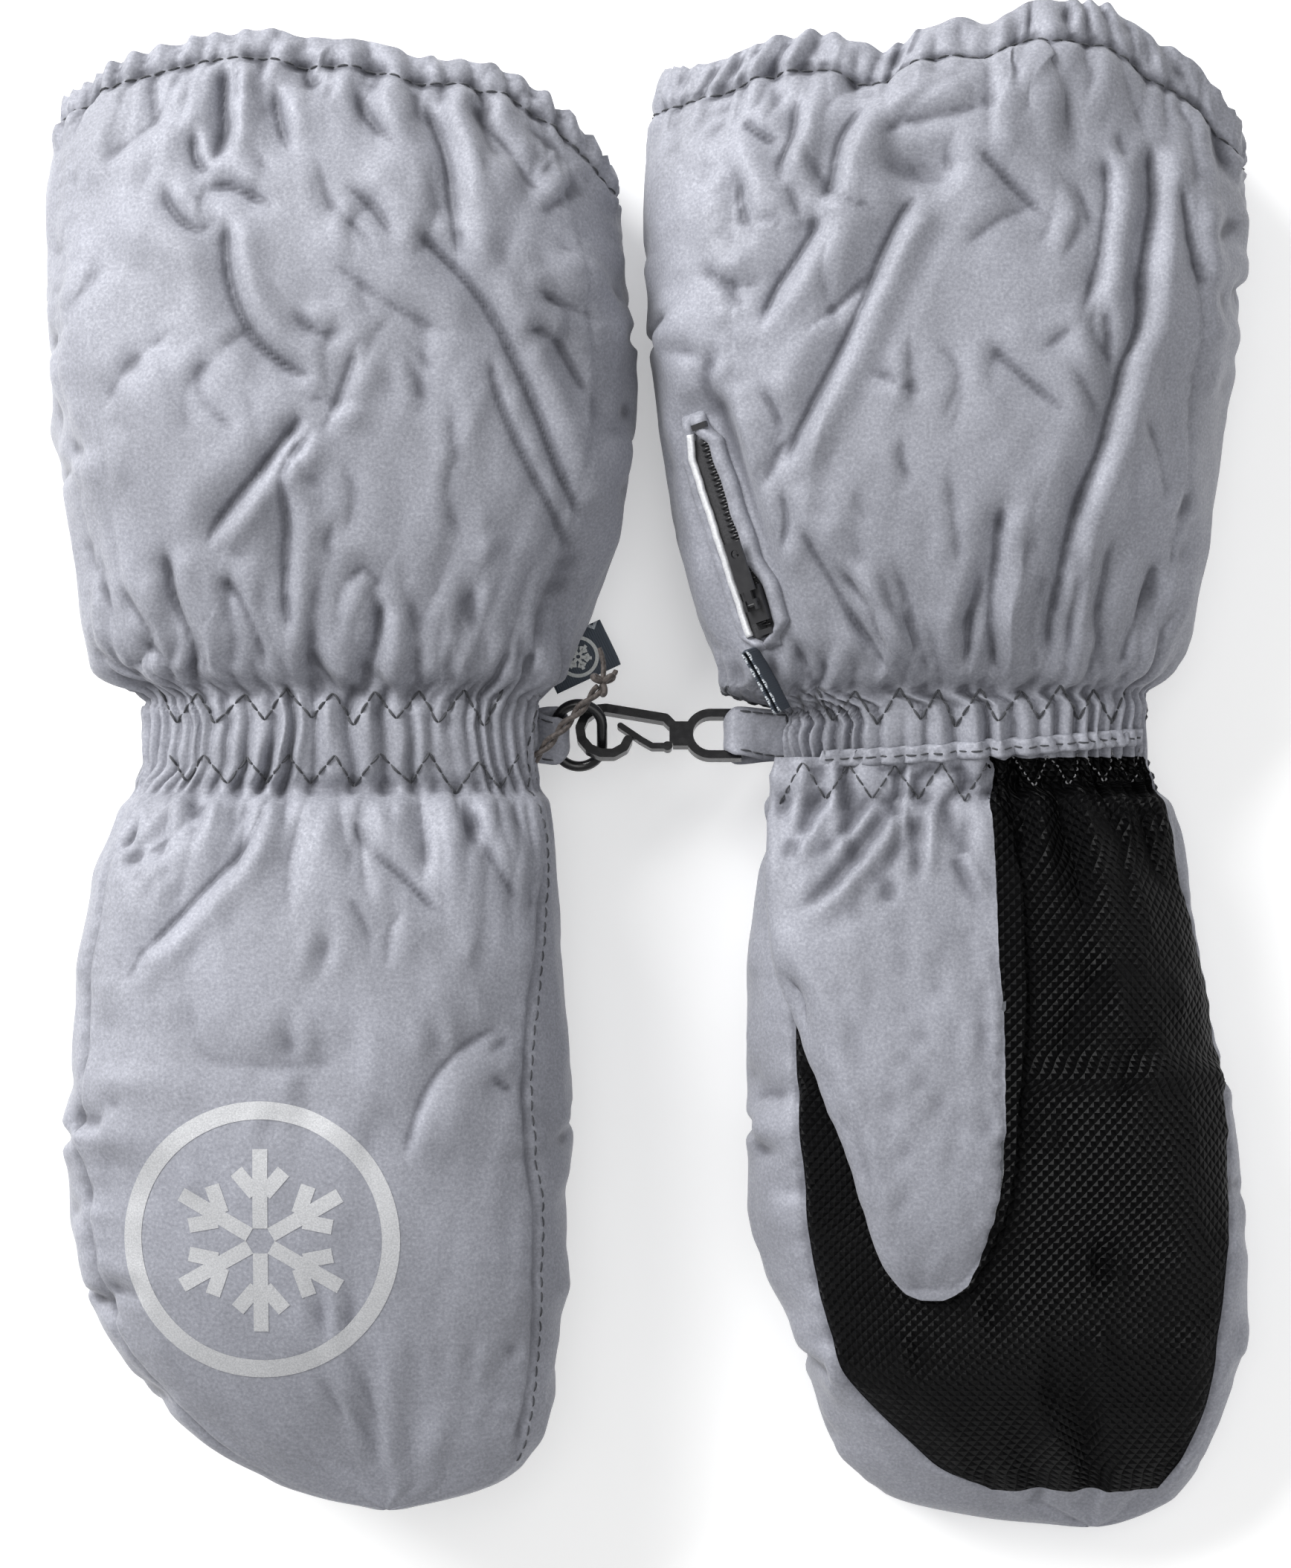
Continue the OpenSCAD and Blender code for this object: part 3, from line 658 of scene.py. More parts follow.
# folds on the upward faces, the left mitten's back and the right one's palm:
# width, depth, then the x, y of each point along the furrow
FOLDS = {
    "left": [
        (1.6, 3.0, -22, 146, -21.5, 138, -21, 131, -24, 122), (1.4, 2.0, -27, 133, -27, 125, -22, 120),
        (1.3, 2.0, -18.5, 147, -19, 139, -16, 134), (1.6, 2.0, -11, 141, -9, 131, -7, 124),
        (1.8, 2.4, -6, 147, -4, 141.5, 0, 142.5), (1.8, 1.8, 5, 141, 9, 133, 18, 124),
        (2.0, 2.4, 19.5, 138, 24, 126, 25.5, 112, 27, 100), (1.8, 1.5, 28, 139, 38, 125, 41, 119.5, 46, 118.5),
        (1.4, 0.9, 39, 133, 49, 126.5), (1.8, 2.2, 17, 111, 28, 100, 36, 88, 43, 73, 50, 57, 54, 49),
        (1.8, 1.6, 3, 120, 10, 114, 14, 106), (1.3, 1.6, -27, 118.5, -20, 119.5, -9, 114),
        (1.6, 1.6, -34, 121, -32, 115, -27, 110.5, -21, 113),
        (1.8, 2.4, -21, 113, -20.5, 102, -17, 92, -10, 84, -1, 79), (1.6, 1.0, -7, 95, -3, 90, 6, 88),
        (1.6, 1.4, 7, 88, 3, 76, -1, 67), (1.7, 2.4, -4, 73, -12, 62, -22, 50, -24, 44),
        (1.5, 1.9, -1, 70, -8, 61, -7.5, 50, -8.5, 36, -7.8, 26),
        (1.6, 2.2, -33, 47, -32, 36, -28, 24.5, -28, 15), (1.5, 1.5, -43, 40, -38, 30, -29, 14),
        (1.5, 1.3, -51, 28, -40, 19, -31, 12), (1.5, 1.3, -24, 40, -18, 36, -12, 18),
        (1.4, 1.4, -6, 27, 0, 19, 5, 11), (1.6, 2.0, 12, 36, 9.5, 28, 7.5, 17),
        (1.8, 0.8, 3, 38, 8, 41.5, 13, 36), (1.3, 1.4, 23, 21, 17, 13), (1.5, 1.6, 38, 26, 28, 12),
        (1.4, 1.2, 43, 28, 37, 13), (1.6, 1.4, 33, 86, 35, 76, 42, 62, 52, 43),
        (1.5, 1.3, 37, 90, 46, 88, 55, 74), (2.2, 1.4, 40, 99, 57, 92),
        (2.0, 1.0, -30, 146, -36, 133, -49, 123), (2.2, 0.8, 0, 104, 14, 94, 29, 87),
        (2.0, 0.9, -56, 112, -56, 95, -54, 80), (2.5, 0.7, -30, 90, -40, 82, -47, 70),
        (1.7, 1.7, -11.5, -3, -17, -14, -30, -28, -40, -38), (1.5, 0.8, -37, -33, -42, -44),
        (1.9, 1.2, 4, -6, 9, -15, 16, -21, 25, -30), (2.0, 0.8, 3, -22, 8, -31, 9, -40),
        (1.6, 0.9, 17, -26, 13, -31, 12, -41), (1.7, 1.1, 28, -5, 33, -16, 40, -28),
        (2.6, 1.3, 36, -50, 25, -57, 18, -68, 16, -80), (1.2, 0.7, 32, -60, 39, -65),
        (1.6, 0.8, -22, -2, -34, -14, -47, -21), (1.3, 0.7, -26, -5, -27, -10),
        (2.4, 0.5, -28, -44, -25, -56, -10, -58, 6, -57), (1.4, 0.6, 38, -53, 31, -57),
    ],
    "right": [
        (1.8, 1.4, -19, 128, -14, 131.5, -3, 133.5, 6, 134.5), (2.0, 1.6, 0, 128, 8, 120, 17, 111.5),
        (1.7, 2.2, -10, 118, -15, 112, -20, 102, -24, 92, -30, 80, -35, 70, -39, 60),
        (1.6, 1.2, -20, 102, -28, 94, -36, 88), (1.5, 2.2, -34, 139, -35, 130, -38, 124, -38, 117),
        (1.4, 1.5, -46, 135, -42, 130.5, -36, 128), (2.0, 2.2, -47, 124, -46, 113, -43, 107),
        (2.0, 2.6, -34, 115, -32, 111, -36, 104, -41, 97, -43, 88),
        (1.7, 2.2, -20, 136, -26, 128, -29, 118, -32, 112), (1.8, 1.3, -56, 105, -50, 99.5, -40, 100.5),
        (1.4, 1.4, -52, 89, -54, 80, -53, 70, -54, 62), (1.7, 1.4, -44, 80, -40, 72, -39, 64),
        (1.5, 1.4, -39, 60, -38, 50, -42, 40), (1.7, 1.6, -36, 52, -30, 41, -24, 32, -14, 18),
        (1.3, 1.4, -28, 43, -20, 33, -13, 17), (1.5, 1.4, -43, 37, -36, 26, -29, 15),
        (1.6, 2.0, 6, 56, 5.5, 46, 4.5, 36, 5, 25, 7.5, 17), (1.3, 1.5, 0, 36, -0.5, 20),
        (1.8, 2.6, 38, 130, 38, 116, 35, 103, 33, 92, 30.5, 83, 28.5, 74, 26, 65, 22, 55, 20, 46,
         18, 34, 17, 20),
        (1.6, 1.6, 28, 128, 28, 116, 25, 102, 20, 90), (1.4, 1.5, 25, 97, 27, 86, 28, 79),
        (1.6, 1.8, 43, 122, 45, 110, 47, 101, 50, 96), (1.3, 1.3, 20, 47, 22, 41, 21.5, 28, 23, 20),
        (1.6, 1.4, 40, 46, 38, 36, 33, 25, 30, 18), (2.0, 1.2, 1, 88, 10, 80, 20, 72),
        (1.6, 1.0, 49, 108, 57, 116), (1.7, 1.3, 11, 0, 12, -10, 10, -22),
        (1.8, 1.5, 18, 1, 20, -9, 23, -20, 24, -32), (1.5, 1.2, 27, 1, 30, -8, 33, -16),
        (1.7, 1.3, 34, 0, 38, -12, 42, -26), (2.4, 0.8, 30, -36, 22, -48, 18, -62),
        (2.0, 0.7, 40, -52, 33, -60, 31, -72),
    ],
}


def valleys(x, y, folds):
    """Relief of furrows with raised shoulders, steeper on one side."""
    relief = np.zeros_like(x)
    for width, depth, *points in folds:
        line = np.array(points, float).reshape(-1, 2)
        if len(line) > 2:
            line = spline(line, 5)
        steps = np.diff(line, axis=0)
        lengths = np.hypot(*steps.T)
        starts = np.concatenate([[0], np.cumsum(lengths)])
        (x_min, y_min), (x_max, y_max), far = line.min(0), line.max(0), 9 * width
        near = (x > x_min - far) & (x < x_max + far) & (y > y_min - far) & (y < y_max + far)
        if not near.any():
            continue
        px, py = x[near], y[near]
        best, signed, along = np.full(px.shape, 1e3), np.zeros(px.shape), np.zeros(px.shape)
        for k in range(len(steps)):
            ux, uy = steps[k] / lengths[k]
            t = np.clip((px - line[k, 0]) * ux + (py - line[k, 1]) * uy, 0, lengths[k])
            dx, dy = px - line[k, 0] - ux * t, py - line[k, 1] - uy * t
            distance = np.hypot(dx, dy)
            closer = distance < best
            best = np.where(closer, distance, best)
            flipped = np.where(ux * dy - uy * dx >= 0, distance, -distance)
            signed = np.where(closer, flipped, signed)
            along = np.where(closer, starts[k] + t, along)
        total = starts[-1]
        fade = smooth(0, min(6, 0.35 * total), along)
        fade = fade * (1 - smooth(total - min(9, 0.45 * total), total, along))
        wall = np.sqrt(signed**2 + 0.12) / np.where(signed > 0, 0.62 * width, 1.5 * width)
        shoulders = 0.5 * bump(signed, 2.3 * width, 1.7 * width)
        shoulders = shoulders + 0.25 * bump(signed, -4.0 * width, 2.4 * width)
        relief[near] += depth * fade * (shoulders - np.exp(-wall))
    return relief


def creases(x, y, folds):
    """Relief of ridges with a furrow beside each: x0, y0, x1, y1, width, height, bow."""
    relief = np.zeros_like(x)
    for x0, y0, x1, y1, width, height, bow in folds:
        length = hypot(x1 - x0, y1 - y0)
        ux, uy = (x1 - x0) / length, (y1 - y0) / length
        t = ((x - x0) * ux + (y - y0) * uy) / length
        away = -(x - x0) * uy + (y - y0) * ux - bow * 4 * t * (1 - t)
        fade = smooth(-0.06, 0.22, t) * (1 - smooth(0.68, 1.06, t))
        relief += height * fade * (bump(away, 0, width) - 0.8 * bump(away, -1.5 * width, width))
    return relief


def gathers(rng, span, scatter, length, lean, bow, edge, way, width, depth):
    """Folds running out from a gathered line. Scatter, lean[1] and bow are random spreads.

    span: x from, to and step; length and depth: least and range (length also a power);
    edge(x): y where a fold starts and where its length counts from; way: +1 or -1 along y.
    """
    folds = []
    for x in np.arange(*span):
        x = x + rng.normal(0, scatter)
        reach = length[0] + length[1] * rng.random() ** length[2]
        slant = x / 60 * lean[0] + rng.normal(0, lean[1])
        bend = rng.normal(0, bow) * reach
        start, root = edge(x)
        middle = (x + slant * reach * 0.5 + bend, root + way * reach * 0.5)
        end = (x + slant * reach, root + way * reach)
        deep = depth[0] + depth[1] * rng.random()
        folds.append((width + 0.02 * reach, deep, x, start, *middle, *end))
    return folds


def random_folds(seed, side):
    """Gathers out from the wrist and the hem, and short creases on the cuff between them."""
    rng = np.random.default_rng(seed)
    hem = curve(HEM_EDGE[side])
    folds = gathers(
        rng, span=(-37, 38, 3.6), scatter=0.7, length=(7, 30, 1.7), lean=(0.3, 0.16), bow=0.05,
        edge=lambda x: (14.5, 17), way=1, width=1.25, depth=(0.7, 0.9),
    )
    folds += gathers(
        rng, span=(-36, 39, 4.1), scatter=0.8, length=(6, 26, 1.8), lean=(0.35, 0.18), bow=0.05,
        edge=lambda x: (-0.5, -3), way=-1, width=1.2, depth=(0.5, 0.8),
    )
    folds += gathers(
        rng, span=(-50, 50, 3.9), scatter=0.8, length=(5, 24, 1.6), lean=(0.12, 0.22), bow=0.06,
        edge=lambda x: (float(hem(x)) - 1,) * 2, way=-1, width=1.15, depth=(0.6, 0.9),
    )
    for _ in range(34):
        x, y, length = rng.uniform(-52, 50), rng.uniform(28, 132), rng.uniform(9, 26)
        angle = pi / 2 + rng.normal(0, 0.6)
        dx, dy = cos(angle) * length / 2, sin(angle) * length / 2
        bow = rng.normal(0, 0.12) * length
        middle = (x - sin(angle) * bow, y + cos(angle) * bow)
        width, depth = rng.uniform(1.0, 1.5), rng.uniform(0.35, 0.95)
        folds.append((width, depth, x - dx, y - dy, *middle, x + dx, y + dy))
    return folds


# ---------------------------------------------------------------- the shell's cloth
PALM_COLS, SIDE_COLS = 30, 5  # columns over the palm or back, and over each side strip
COLS = 2 * PALM_COLS + 2 * SIDE_COLS
SEAM_COLS = (0, PALM_COLS, PALM_COLS + SIDE_COLS, 2 * PALM_COLS + SIDE_COLS)
FINE_COLS, FINE_ROWS = 6, 4  # fine columns and rows per coarse one
LEFT, RIGHT = 1, 2  # columns of OUTLINE


def outline(side, edge, y):
    return curve(OUTLINE[side][:, [0, edge]])(y)


def coarse_rows(side):
    """y of each coarse row, closer at the wrist and closest at the fingertips."""
    top, tip = OUTLINE[side][0, 0], OUTLINE[side][-1, 0]
    cuff = np.arange(top, 22, -4.1)
    wrist = np.arange(cuff[-1] - 3.2, -10, -3.0)
    hand = np.arange(wrist[-1] - 3.9, tip + 20, -3.9)
    return np.concatenate([cuff, wrist, hand, tip + 17.5 * (np.linspace(1, 0, 9) ** 1.7)])


def section(left, right, mid, half, power, insets):
    """Closed outline of one row as COLS points, with the four seams at fixed columns."""
    x, z, along = superellipse(left, right, mid, half, power, np.linspace(0, 2 * pi, 1441))
    upper, lower = slice(0, 721), slice(720, 1441)
    insets = [min(inset, 0.8 * (right - left) / 2) for inset in insets]
    seam0 = np.interp(-(right - insets[0]), -x[upper], along[upper])
    seam1 = np.interp(-(left + insets[1]), -x[upper], along[upper])
    seam2 = np.interp(left + insets[2], x[lower], along[lower])
    seam3 = np.interp(right - insets[3], x[lower], along[lower])
    seams = (seam0, seam1, seam2, seam3, seam0 + along[-1])
    counts = (PALM_COLS, SIDE_COLS) * 2
    place = [np.linspace(seams[k], seams[k + 1], counts[k], endpoint=False) for k in range(4)]
    place = np.concatenate(place) % along[-1]
    return np.stack([np.interp(place, along, x), np.zeros(COLS), np.interp(place, along, z)], -1)


def form(side, swell=lambda y: 1.0, stretch=1.0):
    """The smooth form of one mitten, rows x COLS x 3, from the hem to the fingertips."""
    rows = coarse_rows(side)
    top, tip = OUTLINE[side][0, 0], OUTLINE[side][-1, 0]
    left, right = outline(side, LEFT, rows), outline(side, RIGHT, rows)
    inner = rows
    if side == "left":  # its tip is a little shorter
        inner = np.where(rows < -100, (rows + 100) * 58 / (-tip - 100) - 100, rows)
    half, middle = curve(HALF)(inner), curve(MIDDLE)(inner)
    power = curve(SQUARENESS)(rows)
    insets = np.stack([curve(inset)(rows) for inset in SEAM_INSET], -1)
    grid = np.zeros((len(rows), COLS, 3))
    sag, tilt = SAG[side]
    for j, y in enumerate(rows):
        scale = swell(y)
        centre, width = (left[j] + right[j]) / 2, (right[j] - left[j]) / 2 * scale
        grid[j] = section(
            centre - width, centre + width, middle[j], half[j] * scale, float(power[j]), insets[j]
        )
        across = (grid[j, :, 0] - centre) / max(width, 1)
        hemward = smooth(70, top, y)
        longer = stretch if y > 0 else 1 + 0.25 * (stretch - 1)
        curved = hemward * (sag * across**2 - tilt * across)
        grid[j, :, 1] = y * longer - curved + (tilt * 0.3 * hemward)
    return rows, grid


CLOTH = dict(
    quality=5, mass=0.2, tension_stiffness=12, compression_stiffness=3, shear_stiffness=3,
    bending_stiffness=0.4, tension_damping=5, compression_damping=5, shear_damping=5,
    air_damping=3, vertex_group_mass="pin", pin_stiffness=1.0, use_pressure=True,
    uniform_pressure_force=4.0,
)
CLOTH_FRAMES = 22
CLOTH_UNIT = 0.01  # Blender units per mm while it runs
CLOTH_LIMIT = 9.0  # farthest a point may move, mm


def simulate(name, grid, rest, pin):
    """Cloth on a closed tube of rows, pinned by weight, with more fabric than the form holds."""
    rows, columns = grid.shape[:2]
    mesh = bpy.data.meshes.new(name)
    faces = [tuple(int(k) for k in f) for f in grid_faces(rows, columns, True)]
    mesh.from_pydata([tuple(v) for v in (grid * CLOTH_UNIT).reshape(-1, 3)], [], faces)
    tube_object = bpy.data.objects.new(name, mesh)
    bpy.context.scene.collection.objects.link(tube_object)
    tube_object.shape_key_add(name="Basis")
    key = tube_object.shape_key_add(name="rest")
    key.data.foreach_set("co", (rest * CLOTH_UNIT).astype(np.float32).ravel())
    key.value = 0.0
    group = tube_object.vertex_groups.new(name="pin")
    for k, weight in enumerate(pin.ravel()):
        group.add([k], float(weight), "REPLACE")
    modifier = tube_object.modifiers.new("cloth", "CLOTH")
    for setting, value in CLOTH.items():
        setattr(modifier.settings, setting, value)
    modifier.settings.rest_shape_key = key
    modifier.settings.effector_weights.gravity = 0
    modifier.collision_settings.use_collision = False
    modifier.collision_settings.use_self_collision = False
    scene = bpy.context.scene
    modifier.point_cache.frame_start, modifier.point_cache.frame_end = 1, CLOTH_FRAMES
    for number in range(1, CLOTH_FRAMES + 1):
        scene.frame_set(number)
    result = tube_object.evaluated_get(bpy.context.evaluated_depsgraph_get()).data
    points = np.zeros(rows * columns * 3)
    result.vertices.foreach_get("co", points)
    moved = (points / CLOTH_UNIT).reshape(rows, columns, 3) - grid
    scene.frame_set(1)
    bpy.data.objects.remove(tube_object)
    distance = np.linalg.norm(moved, axis=2, keepdims=True)
    return grid + moved * np.minimum(1, CLOTH_LIMIT / np.maximum(distance, 1e-6))


# the zip's own axes: x along it towards the hem, z out of the fabric
ZIP_HEADING, ZIP_TILT = radians(108), radians(-30)
ZIP_TURN = np.array([
    [cos(ZIP_HEADING), -sin(ZIP_HEADING), 0],
    [sin(ZIP_HEADING), cos(ZIP_HEADING), 0],
    [0, 0, 1],
]) @ np.array([
    [1, 0, 0],
    [0, cos(ZIP_TILT), -sin(ZIP_TILT)],
    [0, sin(ZIP_TILT), cos(ZIP_TILT)],
])
ZIP_PLACE = np.array([-40.7, 30.5, 38.4])


def on_zip(points):
    return (np.asarray(points, float) + (0, 0, 0.6)) @ ZIP_TURN.T + ZIP_PLACE


def flat_under_zip(grid):
    """Fabric beneath the zip lies flat against it."""
    local = (grid - ZIP_PLACE) @ ZIP_TURN
    x, y, z = local[..., 0], local[..., 1], local[..., 2]
    weight = (1 - smooth(5.5, 12, np.abs(y - 0.5))) * (1 - smooth(12, 16, np.abs(z)))
    weight = weight * smooth(-9, -2, x) * (1 - smooth(44, 52, x))
    local[..., 2] += weight * (0.45 - z)
    return local @ ZIP_TURN.T + ZIP_PLACE


def cusp(angle):
    """Rounded ridges with sharp valleys, two to a turn."""
    return np.sqrt(np.sin(angle) ** 2 + 0.0015) - 0.6


class Shell:
    """One mitten's outer fabric: a fine grid of points, its normals and each row's y."""

    def __init__(self, side, seed):
        self.side = side
        self.top, self.tip = OUTLINE[side][0, 0], OUTLINE[side][-1, 0]
        rows, smooth_form = form(side)
        _, rest = form(side, swell=self.slack, stretch=1.045)
        noise = Noise(seed)
        pin = self.pins(rows, smooth_form.shape[:2])
        # a little unevenness, so that the fabric has somewhere to buckle
        cols, y = np.arange(COLS)[None], rows[:, None]
        uneven = 0.5 * noise(cols * 0.9 + 3, y * 0.11)
        uneven = uneven + 0.6 * noise(cols * 0.33 + 40, y * 0.05 + 9)
        start = smooth_form - normals(smooth_form) * (uneven * (1 - pin) * 0.9)[..., None]
        coarse = simulate(side + "_shell", start, rest, pin)
        coarse[-1] = smooth_form[-1]
        fine = np.swapaxes(spline(coarse, FINE_ROWS), 0, 1)
        fine = np.swapaxes(spline(fine, FINE_COLS, closed=True), 0, 1)
        self.y = spline(rows, FINE_ROWS)
        self.around = fine.shape[1]
        self.cols = np.arange(self.around) / FINE_COLS
        self.grid = self.slide(self.fit(fine))
        self.detail(noise)
        faces = [tuple(f) for f in grid_faces(len(self.y), self.around, True)]
        self.tree = BVHTree.FromPolygons([Vector(v) for v in self.grid.reshape(-1, 3)], faces)

    def slack(self, y):
        """How much more fabric there is than the form shows: gathered at the wrist and hem."""
        wrist, hem = 0.36 * bump(y, 7, 17), 0.14 * smooth(self.top - 26, self.top - 6, y)
        return float(1.0 + wrist + hem + 0.035 * smooth(-145, -120, y) + 0.02)

    def pins(self, rows, shape):
        """Stitched rings and seams hold their place, and the rest floats."""
        pin = np.full(shape, 0.018)
        hand = smooth(-8, -30, rows)
        pin += (0.05 * hand)[:, None]
        for centre, width in ((17, 1.6), (-2, 1.8), (self.top - 8.5, 2.0)):
            pin += (0.9 * bump(rows, centre, width))[:, None]
        pin += (0.5 * smooth(self.top - 6, self.top - 1, rows))[:, None]
        pin += (0.6 * smooth(self.tip + 6, self.tip, rows))[:, None]
        pin += (0.12 * bump(rows, 7, 9))[:, None]
        for column in SEAM_COLS:
            away = np.abs(np.arange(COLS) - column)
            away = np.minimum(away, COLS - away)
            pin += (0.16 * hand + 0.05)[:, None] * np.exp(-((away / 0.8) ** 2))[None]
        return np.clip(pin, 0, 1)

    def arc(self):
        """Distance round each row at each point, and the whole way round, in mm."""
        steps = np.linalg.norm(np.roll(self.grid, -1, 1) - self.grid, axis=2)
        return np.cumsum(steps, axis=1) - steps, steps.sum(1, keepdims=True)

    def turn(self):
        """Place round each row, 0 at its right-hand edge and a half at its left-hand edge."""
        x, z = self.grid[:, :, 0], self.grid[:, :, 2]
        left, right = (outline(self.side, k, self.y)[:, None] for k in (LEFT, RIGHT))
        high, low = z.max(1, keepdims=True), z.min(1, keepdims=True)
        rise = (z - (high + low) / 2) / np.maximum((high - low) / 2, 1)
        run = (x - (left + right) / 2) * 2 / (right - left)
        rise, run = (signed_power(np.clip(q, -1, 1), 1.2) for q in (rise, run))
        return (np.arctan2(rise, run) / (2 * pi)) % 1

    def shape_ends(self, upward):
        """The hem takes its own line, the fabric below follows, and the tip is drawn tight."""
        grid = self.grid.copy()
        wanted = curve(HEM_EDGE[self.side])(grid[0, :, 0]) - np.where(upward[0] > 0, 0.0, 1.6)
        cycles = np.fft.fftfreq(self.around) * self.around
        shift = np.fft.fft(wanted - grid[0, :, 1]) * np.exp(-((cycles / 22.0) ** 2))
        rise = smooth(self.top - 34, self.top - 1, self.y[:, None])
        grid[:, :, 1] += np.real(np.fft.ifft(shift))[None] * rise
        tight = (1 - smooth(4, 18, self.y - self.tip))[:, None, None]
        kernel = np.hanning(27) / np.hanning(27).sum()
        drawn = sum(weight * np.roll(grid, k - 13, 1) for k, weight in enumerate(kernel))
        return grid * (1 - tight) + tight * drawn

    def gathered(self, y, turn, phase, warp, noise):
        """Relief of the pleats at the wrist band and the hem casing."""
        size = 1 + 0.35 * noise(turn * 30 + 3, y * 0.05 + 50, 30)
        # pleats run along y between the wrist's two stitch lines
        band = smooth(-5, -1, y) * (1 - smooth(15, 19, y))
        pleats = 2.2 * cusp(phase * 25 + 0.4 * warp) + 0.35 * np.sin(phase * 61 + warp * 2)
        relief = pleats * size * band
        # they fan out above and below it
        fan = 1.6 * cusp(phase * 13 + 0.6 * warp) + 0.8 * cusp(phase * 22 - 0.8 * warp + 1)
        above = smooth(15, 20, y) * np.exp(-np.maximum(y - 18, 0) / 15.0)
        below = (1 - smooth(-8, -3, y)) * np.exp(-np.maximum(-4 - y, 0) / 13.0)
        relief += fan * size * (0.8 * above + 0.6 * below)
        # the band bulges between its stitch lines
        relief += 1.0 * bump(y, 7, 6.5) - 0.8 * bump(y, 17.0, 2.0) - 0.9 * bump(y, -2.6, 2.0)
        relief += 0.9 * above * smooth(16, 30, y) + 0.5 * below
        # the hem's ruffled casing lies above its stitch line
        line = self.top - HEM_DEPTH[self.side]
        casing = smooth(line - 1.2, line + 0.8, y)
        ruffle = 1.9 * cusp(phase * 22 + 0.9 * warp) + 0.5 * np.sin(phase * 37 - warp * 2.0 + 2)
        relief += casing * (0.55 * ruffle + 0.4) - 1.3 * bump(y, line, 1.3)
        under = (1 - casing) * np.exp(-np.maximum(line - y, 0) / 11.0)
        return relief + under * (1.05 * fan * size + 0.5)

    def seamed(self, y, hand, cuff, noise):
        """Relief of the seams, which sink and pucker on both sides."""
        along, girth = self.arc()
        distance = np.full(along.shape, 1e3)
        for column in SEAM_COLS:
            away = np.abs(along - along[:, [column * FINE_COLS]])
            distance = np.minimum(distance, np.minimum(away, girth - away))
        ends = smooth(3, 16, y - self.tip)
        wave = y * 2 * pi / 5.2 + 3 * noise(self.cols[None] * 0.25, y * 0.04 + 30)
        pucker = np.sin(wave) * np.exp(-((distance / 4.5) ** 2)) * (distance / 1.2 > 0.6)
        relief = (0.13 * hand + 0.1 * cuff) * pucker * ends
        sink = (0.75 * hand + 0.3 * cuff) * np.exp(-((distance / 0.9) ** 2))
        return relief - sink * (0.25 + 0.75 * ends)

    def creased(self, y, turn, phase, hand, cuff, noise):
        """Relief of swells and creases at two scales, stronger on the cuff."""
        coarse = noise(turn * 26 + y * 0.018, y * 0.03 - 1.4 * np.sin(2 * phase), 26)
        fine = noise(turn * 52 - y * 0.03 + 11, y * 0.07 + 21 + 1.4 * np.sin(3 * phase), 52)
        swell = noise(turn * 9 + y * 0.02, y * 0.034 + 12, 9)
        ridge = 1 - np.abs(np.clip(coarse, -1.5, 1.5)) / 0.75
        relief = (1.0 * cuff + 0.35 * hand) * swell
        return relief + (0.3 * cuff + 0.14 * hand) * ridge + (0.18 * cuff + 0.1 * hand) * fine

    def folded(self, grid, upward):
        """Relief of the large folds, the other mitten's serving for the downward face."""
        x, y = grid[:, :, 0], grid[:, :, 1]
        other = "left" if self.side == "right" else "right"
        upper, lower = smooth(-0.15, 0.4, upward), smooth(-0.15, 0.4, -upward)
        seed = 5 if self.side == "right" else 8
        relief = valleys(x, y, FOLDS[self.side]) * upper
        relief += 0.8 * valleys(x, y, FOLDS[other]) * lower
        relief += 0.8 * valleys(x, y, random_folds(seed, self.side)) * upper
        relief += 0.8 * valleys(x, y, random_folds(seed + 1, self.side)) * lower
        if self.side == "right":  # a swell near the hem and a dent below it
            swell = 3.0 * spot(x, y, (5, 141), (18, 13)) - 3.6 * spot(x, y, (-10, 123), (8, 5))
            relief += swell * upper
        return relief * 1.2

    def detail(self, noise):
        """Gathers, seams, creases and folds, laid on the slack cloth."""
        y = self.y[:, None]
        facing = 1 if self.side == "right" else -1
        normal = normals(self.grid)
        upward = normal[:, :, 2] * facing
        turn = self.turn()
        phase = turn * 2 * pi
        grid = self.shape_ends(upward)
        self.base = flat_under_zip(grid)
        self.base_normal = normals(self.base)
        hand, cuff = smooth(-10, -26, y), smooth(20, 30, y)
        warp = 1.3 * noise(turn * 20, y * 0.04, 20) + 0.5 * noise(turn * 44, y * 0.1 + 7, 44)
        relief = self.gathered(y, turn, phase, warp, noise)
        relief += self.seamed(y, hand, cuff, noise)
        relief += self.creased(y, turn, phase, hand, cuff, noise)
        relief += self.folded(grid, upward)
        relief *= smooth(-1, 13, y - self.tip) * smooth(0, 3, y - self.tip)
        grid = grid + normal * relief[..., None]
        # the lowest relief nearby, which the linings keep clear of
        self.low = relief
        for shift, axis in [(k, 1) for k in (-4, 4, -2, 2, -1, 1)] + [(k, 0) for k in (-2, 2, -1, 1)]:
            self.low = np.minimum(self.low, np.roll(self.low, shift, axis))
        # the hem's edge is scalloped
        scallop = 0.38 * np.sin(phase * 47 + warp * 1.2)
        grid[..., 1] += scallop * smooth(self.top - 5, self.top, y)
